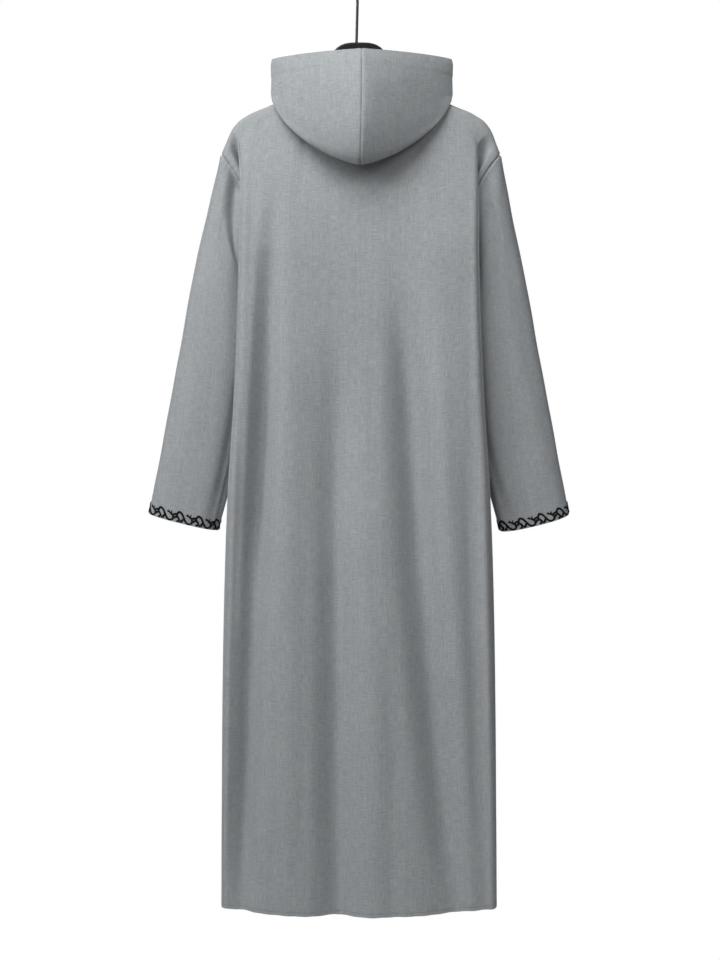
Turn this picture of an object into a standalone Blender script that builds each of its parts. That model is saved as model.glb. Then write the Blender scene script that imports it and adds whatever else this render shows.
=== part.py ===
"""A hooded ankle-length robe on its hanger.

Metres, +Z up. The robe's front faces -Y and the wearer's left is +X. The origin is the inside top of the
hanger's hook, where a rail carries it. The cloth pieces are walls through rings and sections: each piece
is a grid of points, the grids share their seams, and the wall is those points moved out and in.
"""
import math

import bpy
import numpy as np

MM = 0.001
LEFT, RIGHT = 1.0, -1.0
BACK, FRONT = 1.0, -1.0

# Cloth
WALL = 1.6 * MM
SEAM_INSET = 0.2 * MM
MITRE_LIMIT = 1.4

# Heights below the rail
NECK_POINT_Z = -212 * MM
UNDERARM_Z = -510 * MM
HEM_SIDE_Z = -1648 * MM
HEM_DROP = {BACK: 13 * MM, FRONT: 9 * MM}

# Neck, shoulder and armhole
NECK_HALF = 85 * MM
NECK_REACH = {BACK: 42 * MM, FRONT: 48 * MM}
NECK_DROP = {BACK: 28 * MM, FRONT: 76 * MM}
SLIT_LENGTH = 115 * MM
SLIT_HALF = 1.9 * MM
SHOULDER_RADIUS = 11 * MM
TOP_LEAN = -5 * MM
ARMHOLE_BULGE = {BACK: 9 * MM, FRONT: 24 * MM}
ARMPIT_TUCK = {BACK: 14 * MM, FRONT: 7 * MM}
TUCK_SHARE = 0.42
TUCK_WIDTH = 1.5
FACE_POWER = 3.4
YOKE_SPREAD = {"fold": 4.0, "seam": 2.2}
YOKE_EASE = 0.6
RETURN_POWER = 1.6

# How the long folds grow from their tops and weaken at their feet, as shares of their length
FOLD_GROWS = 0.35
FOLD_WEAKENS = 0.7
FOLD_LOSS = 0.45

# Columns run from the centre line past the neck point and the side fold to the side seam
NECK_COLUMN = 8
FOLD_COLUMN = 14
SEAM_COLUMN = 17
FOLD_SHARE = 0.77
BODY_ROWS = 14
YOKE_SHARES = (1.0, 0.94, 0.84, 0.7, 0.55, 0.41, 0.28, 0.17, 0.09, 0.035, 0.01, 0.0)
FOLDS_END_COLUMN = 14.5
FOLDS_END_WIDTH = 3.0
SLEEVE_ROWS = 15
SLEEVE_ROW_POWER = 1.15
SLEEVE_CAP_SHARE = 0.16
SLEEVE_POWER = 2.5
CUFF_DROOP = {LEFT: 4 * MM, RIGHT: 8 * MM}
CUFF_DROOP_START = 0.8


def table(columns, *rows):
    """Rows of millimetres under named columns, as one array of metres for each column."""
    return {name: np.array(values) * MM for name, values in zip(columns.split(), zip(*rows))}


# The shoulder seam's line along the hanger's arm and down past its end, one row a point
SHOULDER = table(
    "out height",
    (85, -212),
    (130, -234),
    (165, -249),
    (201, -265),
    (220, -279),
    (231, -295),
    (238, -312),
    (247, -334),
)

# The body's sections, one row a height. fold: the side fold behind the sleeve. seam: the side seam.
BODY = table(
    "height fold_out fold_back back seam_out seam_back front_out front_side front",
    (-510, 206, 42, 62, 180, -8, 177, -36, -56),
    (-570, 207, 43, 63, 172, -10, 170, -38, -58),
    (-660, 210, 43, 65, 172, -11, 172, -40, -60),
    (-790, 216, 43, 68, 184, -10, 186, -42, -64),
    (-911, 224, 42, 71, 204, -8, 207, -42, -68),
    (-1000, 228, 41, 74, 216, -6, 219, -42, -72),
    (-1200, 234, 41, 82, 230, -3, 231, -43, -80),
    (-1450, 238, 42, 90, 236, 0, 237, -44, -88),
    (-1648, 239, 44, 95, 238, 0, 238, -46, -92),
)
FACE_COLUMNS = {BACK: ("fold_out", "fold_back", "back"), FRONT: ("front_out", "front_side", "front")}

# The sleeve's sections, one row a ring. outer and inner are its two edges, seen flat.
SLEEVE = table(
    "row outer_out outer_height inner_out inner_height half_thick back",
    (0, 247, -334, 180, -510, 30, -12),
    (60, 251, -350, 193, -520, 33, -15),
    (140, 258, -378, 198, -552, 37, -18),
    (240, 271, -437, 194, -606, 40, -20),
    (400, 296, -556, 193, -690, 41, -20),
    (600, 322, -697, 205, -790, 38, -20),
    (800, 348, -839, 223, -893, 33, -19),
    (1000, 373, -968, 250, -998, 28, -16),
)

# The long soft folds, one row a fold: its ends' heights, its place out from the centre at its top, middle
# and foot, its half width, and its depth into the cloth (a ridge has a negative depth)
FOLDS = {
    BACK: table(
        "top foot out_top out_mid out_foot reach depth",
        (-440, -1760, 151, 178, 208, 21, 17),
        (-560, -1800, 48, 36, 30, 40, 13),
        (-390, -1640, -64, -112, -156, 34, 19),
        (-560, -1800, -16, -20, -24, 28, -5),
        (-460, -1640, -124, -156, -190, 24, -5),
        (-500, -1760, 118, 126, 134, 26, -5),
        (-720, -1700, -188, -196, -212, 14, 4),
    ),
    FRONT: table(
        "top foot out_top out_mid out_foot reach depth",
        (-520, -1650, -120, -160, -196, 28, 14),
        (-600, -1760, -48, -62, -74, 36, 11),
        (-680, -1760, 52, 66, 84, 36, 12),
        (-560, -1660, 116, 152, 188, 26, 13),
        (-640, -1800, 2, 0, 4, 30, -6),
        (-640, -1700, -96, -112, -134, 28, -5),
    ),
}

# The hood's rings from the neck seam over its roll, down inside to its lowest fold, and up to the rim.
# side is where it crosses the shoulder.
HOOD = table(
    "row out side_back side_height back back_height front front_height",
    (0, 85, 0, -212, 42, -240, -48, -288),
    (100, 91, 0, -199, 47, -226, -51, -280),
    (200, 104, 0, -194, 58, -221, -54, -274),
    (300, 122, 1, -206, 66, -246, -57, -269),
    (400, 138, 3, -218, 70, -292, -60, -265),
    (500, 150, 9, -225, 75, -340, -62, -262),
    (600, 157, 12, -236, 84, -366, -63, -259),
    (700, 160, 5, -229, 106, -352, -65, -256),
    (800, 160, 0, -212, 120, -304, -67, -252),
    (900, 160, -7, -191, 116, -240, -69, -248),
    (1000, 160, -12, -174, 102, -191, -71, -244),
    (1100, 159, -15, -162, 88, -168, -72, -241),
)

# How pointed the hood is behind, seen from above (plan), and how its height falls from side to back (drop)
HOOD_POWERS = table(
    "row plan drop",
    (0, 1000, 2000),
    (500, 1120, 1560),
    (600, 1350, 1300),
    (700, 1550, 1300),
    (800, 1650, 1350),
    (1000, 1700, 1900),
    (1100, 1700, 3000),
)
HOOD_SEAM_RISE = 0.9 * MM
HOOD_SHOULDER_RISE = 0.6 * MM
HOOD_ROWS = 11

# Hanger
ARM_HALF_THICK = 7 * MM
ARM_EDGE = 3 * MM
ARM_HEIGHT = 24 * MM
ARM_END_COLUMN = 13.3
ARM_INNER_STEP = 7 * MM
ARM_SEAT = 3.3 * MM
ARM_END_REACH = 5 * MM
HUB_TOP_Z = -136 * MM
HUB = table(
    "out drop",
    (9, 0),
    (18, -0.6),
    (26, -2.3),
    (33, -5.2),
    (39, -9.2),
    (44, -14.5),
    (47.5, -22),
    (49, -40),
)
HUB_FOOT = table(
    "out height",
    (30, -226),
)
HOOK_WIRE = 4.8 * MM
HOOK_INNER_RADIUS = 22 * MM
HOOK_START, HOOK_END, HOOK_STEP = -50, 201, 14
STEM = table(
    "out height",
    (4.4, -135),
    (3.4, -95),
    (2.6, -62),
    (4.5, -54),
    (10.5, -47.5),
)

CLOTH_COLOUR = (0.30, 0.32, 0.33, 1.0)
HANGER_COLOUR = (0.02, 0.02, 0.022, 1.0)
HOOK_COLOUR = (0.04, 0.04, 0.045, 1.0)


def follow(rows, key, column, at):
    """A smooth curve through one column of a table, read at the given places of its key column."""
    where, values = rows[key], rows[column]
    if where[0] > where[-1]:
        where, values = where[::-1], values[::-1]
    slopes = np.gradient(values, where)
    at = np.clip(np.asarray(at, dtype=float), where[0], where[-1])
    span = np.clip(np.searchsorted(where, at) - 1, 0, len(where) - 2)
    width = where[span + 1] - where[span]
    t = (at - where[span]) / width
    start = (1 + 2 * t) * (1 - t) ** 2 * values[span] + t * (1 - t) ** 2 * width * slopes[span]
    end = t * t * (3 - 2 * t) * values[span + 1] - t * t * (1 - t) * width * slopes[span + 1]
    return start + end


def evenly(points, shares):
    """Points at the given shares of the length of a dense line of points."""
    steps = np.linalg.norm(np.diff(points, axis=0), axis=1)
    length = np.concatenate([[0.0], np.cumsum(steps)])
    places = np.asarray(shares) * length[-1]
    return np.stack([np.interp(places, length, column) for column in points.T], axis=-1)


def share_between(columns, first, last):
    """How far each column lies on its way from one named column to another, from 0 to 1."""
    return np.clip((columns - first) / (last - first), 0.0, 1.0)


def smooth(t):
    t = np.clip(t, 0.0, 1.0)
    return t * t * (3 - 2 * t)


def fold_depth(face, x, z):
    """How far the long folds press the cloth in at one place of the back or front."""
    rows = FOLDS[face]
    total = np.zeros(np.broadcast(x, z).shape)
    for top, foot, out_top, out_mid, out_foot, reach, depth in zip(*rows.values()):
        t = np.clip((top - z) / (top - foot), 0.0, 1.0)
        place = (1 - t) * (1 - 2 * t) * out_top + 4 * t * (1 - t) * out_mid + t * (2 * t - 1) * out_foot
        fade = smooth(t / FOLD_GROWS) * (1 - FOLD_LOSS * smooth((t - FOLD_WEAKENS) / (1 - FOLD_WEAKENS)))
        total += depth * fade * np.exp(-(((x - place) / reach) ** 2))
    return total


def half_section(height, face, columns):
    """The body's half outline at one height: out and back of each column, centre line to side seam."""
    out, side, deep = (float(follow(BODY, "height", name, height)) for name in FACE_COLUMNS[face])
    seam_out, seam_back = (float(follow(BODY, "height", name, height)) for name in ("seam_out", "seam_back"))
    angle = np.linspace(0.0, math.pi / 2, 121)
    power = 2 / FACE_POWER
    arc = np.stack([out * np.sin(angle) ** power, side + (deep - side) * np.cos(angle) ** power], axis=-1)
    on_face = evenly(arc, share_between(columns, 0, FOLD_COLUMN))
    turn = share_between(columns, FOLD_COLUMN, SEAM_COLUMN)
    turned_out = seam_out + (out - seam_out) * (1 + np.cos(math.pi * turn)) / 2
    turned_back = side + (seam_back - side) * turn
    past = columns > FOLD_COLUMN
    return np.where(past, turned_out, on_face[:, 0]), np.where(past, turned_back, on_face[:, 1])


def top_edge(face, columns):
    """The neckline and shoulder seam: out, back and height of each column."""
    angle = share_between(columns, 0, NECK_COLUMN) * math.pi / 2
    slit = SLIT_HALF if face == FRONT else 0.0
    neck_out = slit + (NECK_HALF - slit) * np.sin(angle)
    neck_back = face * NECK_REACH[face] * np.cos(angle)
    neck_height = NECK_POINT_Z - NECK_DROP[face] * np.cos(angle) ** 2
    dense = np.linspace(SHOULDER["out"][0], SHOULDER["out"][-1], 200)
    line = np.stack([dense, follow(SHOULDER, "out", "height", dense)], axis=-1)
    on_arm = share_between(columns, NECK_COLUMN, FOLD_COLUMN) * FOLD_SHARE
    past_arm = share_between(columns, FOLD_COLUMN, SEAM_COLUMN) * (1 - FOLD_SHARE)
    shoulder = evenly(line, on_arm + past_arm)
    past = columns > NECK_COLUMN
    return (
        np.where(past, shoulder[:, 0], neck_out),
        np.where(past, 0.0, neck_back),
        np.where(past, shoulder[:, 1], neck_height),
    )


def lean(height):
    """The robe's top hangs a little to one side of the hook."""
    return TOP_LEAN * smooth((height - UNDERARM_Z) / (NECK_POINT_Z - UNDERARM_Z))


def shoulder_round(drop):
    """How far the cloth stands out from the shoulder seam's line a little below it."""
    inside = np.clip(SHOULDER_RADIUS - drop, 0.0, None)
    return np.sqrt(SHOULDER_RADIUS**2 - inside**2)


def yoke_depth(face, top_back, drop, low_back, share):
    """How far back, or forward, the yoke lies between the top edge and the underarm's section."""
    start = np.maximum(face * top_back, shoulder_round(drop))
    settled = np.maximum(face * top_back, SHOULDER_RADIUS)
    return face * start + (low_back - face * settled) * share * (1 + YOKE_EASE - YOKE_EASE * share)


def yoke_row(side, face, columns, share):
    """One row between the shoulder and the underarm; share is 0 at the shoulder and 1 at the underarm."""
    top_out, top_back, top_height = top_edge(face, columns)
    low_out, low_back = half_section(UNDERARM_Z, face, columns)
    drop = (top_height - UNDERARM_Z) * share
    past = share_between(columns, FOLD_COLUMN, SEAM_COLUMN)
    power = YOKE_SPREAD["fold"] + (YOKE_SPREAD["seam"] - YOKE_SPREAD["fold"]) * past
    out = low_out + (top_out - low_out) * (1 - share) ** power
    face_back = yoke_depth(face, top_back, drop, low_back, share)
    edge_back = face * shoulder_round(drop[-1]) + (low_back[-1] - face * SHOULDER_RADIUS) * share**2
    edge_back += face * ARMHOLE_BULGE[face] * math.sin(math.pi * share)
    tuck = ARMPIT_TUCK[face] * math.sin(math.pi * min(1.0, share / TUCK_SHARE)) ** 2
    turn = (1 - past) * share**4 + (1 - past**RETURN_POWER) * (1 - share**4)
    turned = edge_back + (face_back[FOLD_COLUMN] - edge_back) * turn
    turned -= face * tuck * np.sin(math.pi * np.clip(past * TUCK_WIDTH, 0.0, 1.0))
    back = np.where(past > 0, turned, face_back)
    height = top_height - drop
    if face == FRONT:
        open_share = np.clip(1 - (NECK_POINT_Z - NECK_DROP[FRONT] - height) / SLIT_LENGTH, 0.0, 1.0)
        out = np.where(columns == 0, SLIT_HALF * open_share, out)
    return np.stack([side * out + lean(height), back, height], axis=-1)


def body_row(side, face, columns, share):
    """One row between the underarm, share 0, and the hem, share 1."""
    height = UNDERARM_Z + (HEM_SIDE_Z - UNDERARM_Z) * share
    out, back = half_section(height, face, columns)
    x = side * out
    on_face = smooth((FOLDS_END_COLUMN - columns) / FOLDS_END_WIDTH)
    back = back - face * fold_depth(face, x, height) * on_face
    hem_drop = HEM_DROP[face] * share**3 * np.cos(share_between(columns, 0, FOLD_COLUMN) * math.pi / 2)
    return np.stack([x, back, height - hem_drop], axis=-1)


def half_panel(side, face):
    """Rows from the hem up to the shoulder, columns from the centre line to the side seam or armhole."""
    columns = np.arange(SEAM_COLUMN + 1, dtype=float)
    rows = [body_row(side, face, columns, share) for share in np.linspace(1.0, 0.0, BODY_ROWS + 1)[:-1]]
    rows += [yoke_row(side, face, columns, share) for share in YOKE_SHARES]
    return np.array(rows)


def sleeve(side, back_half, front_half):
    """Rings from the armhole to the cuff; each ring runs from the overarm line by the back round to it."""
    armhole_rows = len(YOKE_SHARES)
    back_edge = back_half[-armhole_rows:, SEAM_COLUMN][::-1]
    front_edge = front_half[-armhole_rows:, SEAM_COLUMN]
    armhole = np.concatenate([back_edge, front_edge[1:]])
    angle = np.linspace(0.0, 2 * math.pi, len(armhole))
    rings = []
    for row in range(SLEEVE_ROWS + 1):
        t = (row / SLEEVE_ROWS) ** SLEEVE_ROW_POWER
        oval = sleeve_oval(side, t, angle)
        if row == 0:
            shift = armhole - oval
        rings.append(oval + shift * (1 - smooth(t / SLEEVE_CAP_SHARE)))
    return np.array(rings)


def sleeve_oval(side, t, angle):
    """The sleeve's ring at share t of its length, before it is fitted to the armhole."""
    outer_out, outer_height, inner_out, inner_height, half_thick, back = (
        float(follow(SLEEVE, "row", name, t))
        for name in ("outer_out", "outer_height", "inner_out", "inner_height", "half_thick", "back")
    )
    waves = np.stack([np.cos(angle), np.sin(angle)])
    across, around = np.sign(waves) * np.abs(waves) ** (2 / SLEEVE_POWER)
    out = (outer_out + inner_out) / 2 + (outer_out - inner_out) / 2 * across
    height = (outer_height + inner_height) / 2 + (outer_height - inner_height) / 2 * across
    height -= CUFF_DROOP[side] * around * smooth((t - CUFF_DROOP_START) / (1 - CUFF_DROOP_START))
    return np.stack([side * out + lean(height), back + half_thick * around, height], axis=-1)


def hood_half(side):
    """Rings of half the hood from the neck seam to the rim; columns run from the back to the front."""
    angle = np.linspace(0.0, math.pi, 2 * NECK_COLUMN + 1)
    behind = angle <= math.pi / 2
    across, along = np.sin(angle), np.abs(np.cos(angle))
    rows = []
    for row in range(HOOD_ROWS + 1):
        key = row * 100 * MM
        out, side_back, side_height, back, back_height, front, front_height = (
            float(follow(HOOD, "row", name, key))
            for name in ("out", "side_back", "side_height", "back", "back_height", "front", "front_height")
        )
        plan, drop = (np.interp(key, HOOD_POWERS["row"], HOOD_POWERS[name]) for name in ("plan", "drop"))
        plan = np.where(behind, plan, 1.0)
        drop = np.where(behind, drop, 2 - key)
        slit = np.where(behind, 0.0, SLIT_HALF)
        reach = np.where(behind, out, NECK_HALF + (out - NECK_HALF) * across**2)
        x = slit + (reach - slit) * np.abs(across) ** plan
        y = side_back + (np.where(behind, back, front) - side_back) * along**plan
        fall = np.where(behind, back_height, front_height) - side_height
        z = side_height + fall * along**drop
        if row == 0:
            z = z + HOOD_SEAM_RISE + HOOD_SHOULDER_RISE * across**2
        rows.append(np.stack([side * x + lean(z), y, z], axis=-1))
    return np.array(rows)


def quads(grid, outward):
    """The four corner points of each cell of a grid, in the order that faces outward."""
    corners = [grid[:-1, :-1], grid[:-1, 1:], grid[1:, 1:], grid[1:, :-1]]
    if not outward:
        corners = [corners[0], corners[3], corners[2], corners[1]]
    return np.stack([corner.reshape(-1, 3) for corner in corners], axis=1)


def key_of(point):
    return tuple(int(round(value * 1e7)) for value in point)


def shared_offsets(pieces):
    """The way out of the cloth at every point, worked out over all pieces that share it."""
    sums, faces_at = {}, {}
    for cells in pieces.values():
        for cell in cells:
            normal = np.cross(cell[2] - cell[0], cell[3] - cell[1])
            size = np.linalg.norm(normal)
            if size < 1e-12:
                continue
            for corner, point in enumerate(cell):
                ahead, behind = cell[(corner + 1) % 4] - point, cell[corner - 1] - point
                spans = np.linalg.norm(ahead) * np.linalg.norm(behind)
                if spans < 1e-12:
                    continue
                angle = math.acos(np.clip(ahead @ behind / spans, -1.0, 1.0))
                key = key_of(point)
                sums[key] = sums.get(key, 0) + angle * normal / size
                faces_at.setdefault(key, []).append(normal / size)
    offsets = {}
    for key, total in sums.items():
        way = total / np.linalg.norm(total)
        level = np.mean([abs(np.dot(way, normal)) for normal in faces_at[key]])
        offsets[key] = way * min(1 / max(level, 0.1), MITRE_LIMIT)
    return offsets


def wall_mesh(name, cells, offsets, seams):
    """A closed wall through the cells: an outer and an inner skin and a rim along every open edge."""
    index, points = {}, []
    faces = []
    for cell in cells:
        face = []
        for point in cell:
            key = key_of(point)
            if key not in index:
                index[key] = len(points)
                points.append(np.array(point))
            if index[key] not in face:
                face.append(index[key])
        if len(face) > 2:
            faces.append(face)
    used = {}
    for face in faces:
        for a, b in zip(face, face[1:] + face[:1]):
            used[(a, b)] = used.get((a, b), 0) + 1
    rim = [edge for edge in used if edge[::-1] not in used]
    keys = list(index)
    middle = np.array(points)
    ways = {}
    for a, b in rim:
        if keys[a] in seams and keys[b] in seams:
            for corner in (a, b):
                way = np.cross(offsets[keys[corner]], middle[b] - middle[a])
                ways.setdefault(corner, []).append(way / np.linalg.norm(way))
    for corner, pair in ways.items():
        total = sum(pair)
        middle[corner] += total * len(pair) / max(total @ total, 0.5) * SEAM_INSET
    out = np.array([offsets[key] for key in keys]) * WALL / 2
    count = len(points)
    vertices = np.concatenate([middle + out, middle - out])
    skins = faces + [[corner + count for corner in reversed(face)] for face in faces]
    rims = []
    for a, b in rim:
        if keys[a] < keys[b]:
            rims += [[b, a, b + count], [a, a + count, b + count]]
        else:
            rims += [[b, a, a + count], [b, a + count, b + count]]
    mesh = bpy.data.meshes.new(name)
    mesh.from_pydata([tuple(vertex) for vertex in vertices], [], skins + rims)
    mesh.validate()
    return mesh


def material(name, colour, roughness, metallic=0.0):
    made = bpy.data.materials.new(name)
    made.use_nodes = True
    shader = made.node_tree.nodes["Principled BSDF"]
    shader.inputs["Base Color"].default_value = colour
    shader.inputs["Roughness"].default_value = roughness
    shader.inputs["Metallic"].default_value = metallic
    return made


def place(collection, name, data, finish):
    thing = bpy.data.objects.new(name, data)
    data.materials.append(finish)
    collection.objects.link(thing)
    return thing


def garment_grids():
    """Every cloth piece's grids, by the piece's name, and whether each grid faces outward as it runs."""
    halves = {(side, face): half_panel(side, face) for side in (LEFT, RIGHT) for face in (BACK, FRONT)}
    pieces = {
        "back_panel": [(halves[LEFT, BACK], False), (halves[RIGHT, BACK], True)],
        "front_panel": [(halves[LEFT, FRONT], True), (halves[RIGHT, FRONT], False)],
    }
    for side, word in ((LEFT, "left"), (RIGHT, "right")):
        rings = sleeve(side, halves[side, BACK], halves[side, FRONT])
        pieces["sleeve_" + word] = [(rings, side == RIGHT)]
    hood = {"hood_left": [(hood_half(LEFT), True)], "hood_right": [(hood_half(RIGHT), False)]}
    return pieces, hood


def add_cloth(collection, grids):
    """Walls for pieces that share their seam points."""
    cells = {}
    for name, parts in grids.items():
        cells[name] = np.concatenate([quads(grid, outward) for grid, outward in parts])
    offsets = shared_offsets(cells)
    owners = {}
    for name, piece in cells.items():
        for point in piece.reshape(-1, 3):
            owners.setdefault(key_of(point), set()).add(name)
    seams = {key for key, names in owners.items() if len(names) > 1}
    for name, piece in cells.items():
        finish = material(name + "_cloth", CLOTH_COLOUR, 0.9)
        place(collection, name, wall_mesh(name, piece, offsets, seams), finish)


def hanger_outline():
    """The hanger's flat outline: hub and two arms, each arm's top under the shoulder seam."""
    columns = np.arange(NECK_COLUMN, FOLD_COLUMN + 1, dtype=float)
    stations = np.append(columns[:-1], ARM_END_COLUMN)
    seam_out, _, seam_height = top_edge(BACK, columns)
    tops, bottoms = {}, {}
    for side in (LEFT, RIGHT):
        x = np.interp(stations, columns, side * seam_out + lean(seam_height))
        z = np.interp(stations, columns, seam_height)
        seat = ARM_SEAT * np.hypot(1.0, np.gradient(z, x))
        along = list(zip(x, z - seat))
        slope = (along[1][1] - along[0][1]) / (along[1][0] - along[0][0])
        inner = (along[0][0] - side * ARM_INNER_STEP, along[0][1] - slope * side * ARM_INNER_STEP)
        dome = [(side * out, HUB_TOP_Z + drop) for out, drop in zip(*HUB.values())]
        end = (along[-1][0] + side * ARM_END_REACH, along[-1][1] - ARM_HEIGHT / 2)
        foot = (side * HUB_FOOT["out"][0], HUB_FOOT["height"][0])
        tops[side] = dome + [inner] + along + [end]
        bottoms[side] = [(x, z - ARM_HEIGHT) for x, z in reversed(along)] + [foot]
    right_way = bottoms[RIGHT][::-1] + tops[RIGHT][::-1]
    return tops[LEFT] + bottoms[LEFT] + right_way


def add_hanger(collection):
    curve = bpy.data.curves.new("hanger_body", "CURVE")
    curve.dimensions = "2D"
    curve.fill_mode = "BOTH"
    curve.extrude = ARM_HALF_THICK - ARM_EDGE
    curve.bevel_depth = ARM_EDGE
    curve.bevel_resolution = 1
    spline = curve.splines.new("POLY")
    outline = hanger_outline()
    spline.points.add(len(outline) - 1)
    for point, (x, z) in zip(spline.points, outline):
        point.co = (x, z, 0.0, 1.0)
    spline.use_cyclic_u = True
    curve.offset = -ARM_EDGE
    body = place(collection, "hanger_body", curve, material("hanger_plastic", HANGER_COLOUR, 0.45))
    body.rotation_euler = (math.pi / 2, 0.0, 0.0)


def hook_path():
    """The hook's wire: a straight stem, a turn to one side and most of a circle over the rail."""
    radius = HOOK_INNER_RADIUS + HOOK_WIRE / 2
    angles = np.radians(np.arange(HOOK_START, HOOK_END, HOOK_STEP))
    loop = [(radius * math.cos(angle), radius * math.sin(angle) - HOOK_INNER_RADIUS) for angle in angles]
    return list(zip(*STEM.values())) + loop


def add_hook(collection):
    curve = bpy.data.curves.new("hanger_hook", "CURVE")
    curve.dimensions = "3D"
    curve.bevel_depth = HOOK_WIRE / 2
    curve.bevel_resolution = 2
    curve.use_fill_caps = True
    spline = curve.splines.new("POLY")
    path = hook_path()
    spline.points.add(len(path) - 1)
    for point, (x, z) in zip(spline.points, path):
        point.co = (x, 0.0, z, 1.0)
    place(collection, "hanger_hook", curve, material("hook_metal", HOOK_COLOUR, 0.35, 0.9))


def main():
    for thing in list(bpy.data.objects):
        bpy.data.objects.remove(thing)
    collection = bpy.data.collections.new("hooded_robe")
    bpy.context.scene.collection.children.link(collection)
    pieces, hood = garment_grids()
    add_cloth(collection, pieces)
    add_cloth(collection, hood)
    add_hanger(collection)
    add_hook(collection)


main()
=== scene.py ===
"""The looks of a hooded robe on its hanger: cloth, cuff borders, stitching, hanger finish and stage."""
import math

import bpy
import numpy as np
from bpy.props import FloatProperty, FloatVectorProperty, IntProperty, PointerProperty
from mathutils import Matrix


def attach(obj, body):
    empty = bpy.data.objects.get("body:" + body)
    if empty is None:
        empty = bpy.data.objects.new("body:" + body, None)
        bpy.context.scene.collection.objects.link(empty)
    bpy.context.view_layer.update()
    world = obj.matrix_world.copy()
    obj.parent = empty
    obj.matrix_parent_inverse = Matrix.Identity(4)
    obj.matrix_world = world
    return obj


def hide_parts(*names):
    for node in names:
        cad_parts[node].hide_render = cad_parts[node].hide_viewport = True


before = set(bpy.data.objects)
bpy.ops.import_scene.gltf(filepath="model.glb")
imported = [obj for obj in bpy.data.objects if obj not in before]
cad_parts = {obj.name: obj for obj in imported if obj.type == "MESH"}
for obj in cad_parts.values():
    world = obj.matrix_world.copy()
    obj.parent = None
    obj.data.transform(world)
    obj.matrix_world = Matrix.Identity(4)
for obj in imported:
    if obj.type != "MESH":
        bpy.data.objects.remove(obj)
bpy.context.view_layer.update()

bl_info = {
    "name": "Hooded robe on a hanger",
    "version": (1, 0, 0),
    "blender": (4, 5, 0),
    "location": "3D View > Sidebar > Robe",
    "description": "Builds a hooded robe's cloth, cuff borders, stitching and hanger finish, and its stage",
    "category": "Object",
}

MM = 0.001
LEFT, RIGHT = 1.0, -1.0
BACK, FRONT = 1.0, -1.0

# Sizes that the robe's solids share
NECK_POINT_Z = -212 * MM
UNDERARM_Z = -510 * MM
HEM_SIDE_Z = -1648 * MM
HEM_DROP = {BACK: 13 * MM, FRONT: 9 * MM}
NECK_HALF = 85 * MM
NECK_REACH = {BACK: 42 * MM, FRONT: 48 * MM}
NECK_DROP = {BACK: 28 * MM, FRONT: 76 * MM}
SLIT_LENGTH = 115 * MM
SLIT_HALF = 1.9 * MM
SHOULDER_RADIUS = 11 * MM
TOP_LEAN = -5 * MM
ARMHOLE_BULGE = {BACK: 9 * MM, FRONT: 24 * MM}
ARMPIT_TUCK = {BACK: 14 * MM, FRONT: 7 * MM}
TUCK_SHARE = 0.42
TUCK_WIDTH = 1.5
FACE_POWER = 3.4
YOKE_SPREAD = {"fold": 4.0, "seam": 2.2}
YOKE_EASE = 0.6
RETURN_POWER = 1.6
FOLD_GROWS = 0.35
FOLD_WEAKENS = 0.7
FOLD_LOSS = 0.45
NECK_COLUMN = 8
FOLD_COLUMN = 14
SEAM_COLUMN = 17
FOLD_SHARE = 0.77
YOKE_SHARES = (1.0, 0.94, 0.84, 0.7, 0.55, 0.41, 0.28, 0.17, 0.09, 0.035, 0.01, 0.0)
FOLDS_END_COLUMN = 14.5
FOLDS_END_WIDTH = 3.0
CREASES_END_COLUMN = 14.9
CREASES_END_WIDTH = 1.3
CREASES_START_SHARE = 0.3

# The hollow between the side fold and the armhole's seam, and how far the fold is drawn in above it
WEDGE_DEPTH = {LEFT: 16 * MM, RIGHT: 9 * MM}
WEDGE_PLACE, WEDGE_WIDTH, WEDGE_SHARE, WEDGE_START = 0.42, 0.24, 0.85, 0.15
SIDE_DRAW = {LEFT: 7 * MM, RIGHT: 24 * MM}
SIDE_DRAW_WIDTH = 1.4
SIDE_DRAW_START = 0.16

# The slow unevenness of hanging cloth: how far it reaches, and its lengths across and along
BODY_WANDER, WANDER_ACROSS, WANDER_ALONG = 0.9 * MM, 45 * MM, 110 * MM
HEM_WAVER, WAVER_ACROSS, WAVER_SHARE = 0.9 * MM, 22 * MM, 0.03
WANDER_START, WANDER_EDGE = 0.1, 2.0
SLEEVE_WANDER, SLEEVE_WANDER_START = 0.7 * MM, 12 * MM
TURN_SHIFT = {LEFT: 0.0, RIGHT: 0.02}

SLEEVE_CAP_SHARE = 0.16
SLEEVE_POWER = 2.5
CUFF_DROOP = {LEFT: 4 * MM, RIGHT: 8 * MM}
CUFF_DROOP_START = 0.8

# How finely the cloth is laid out
COLUMN_PARTS = 6
CLOSE_COLUMNS = (
    13.76, 13.88, 13.93, 13.97, 14.03, 14.07, 14.12, 14.24, 16.90, 16.93, 16.955, 16.97, 16.985,
)
YOKE_PARTS = 7
HEM_ROWS = (0.0, 1.2, 3.0, 4.8, 6.2, 7.4, 9.0)
HEM_ROWS_END = 13 * MM
STITCHED_ROW = 4
BODY_ROWS = 100
CUFF_ROWS = 16
OUTLINE_POINTS, SHOULDER_POINTS = 241, 400
SLEEVE_RINGS = 96
SLEEVE_FIRST, SLEEVE_EVEN = (0.0, 0.0012, 0.0026, 0.0044, 0.007, 0.011, 0.016), (0.022, 0.968)
SLEEVE_LAST = (0.024, 0.018, 0.013, 0.010, 0.0075, 0.005, 0.0025, 0.0)
HOOD_RINGS = 96
HOOD_EVEN_END, HOOD_LAST = 32 * MM, (22.0, 14.0, 7.0, 0.0)
HOOD_COLUMNS = 120
HOOD_FIRST, HOOD_EVEN_START = (0.0, 0.004, 0.008, 0.012, 0.017, 0.024), 0.034
WELD_LENGTH = 2e-6

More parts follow.
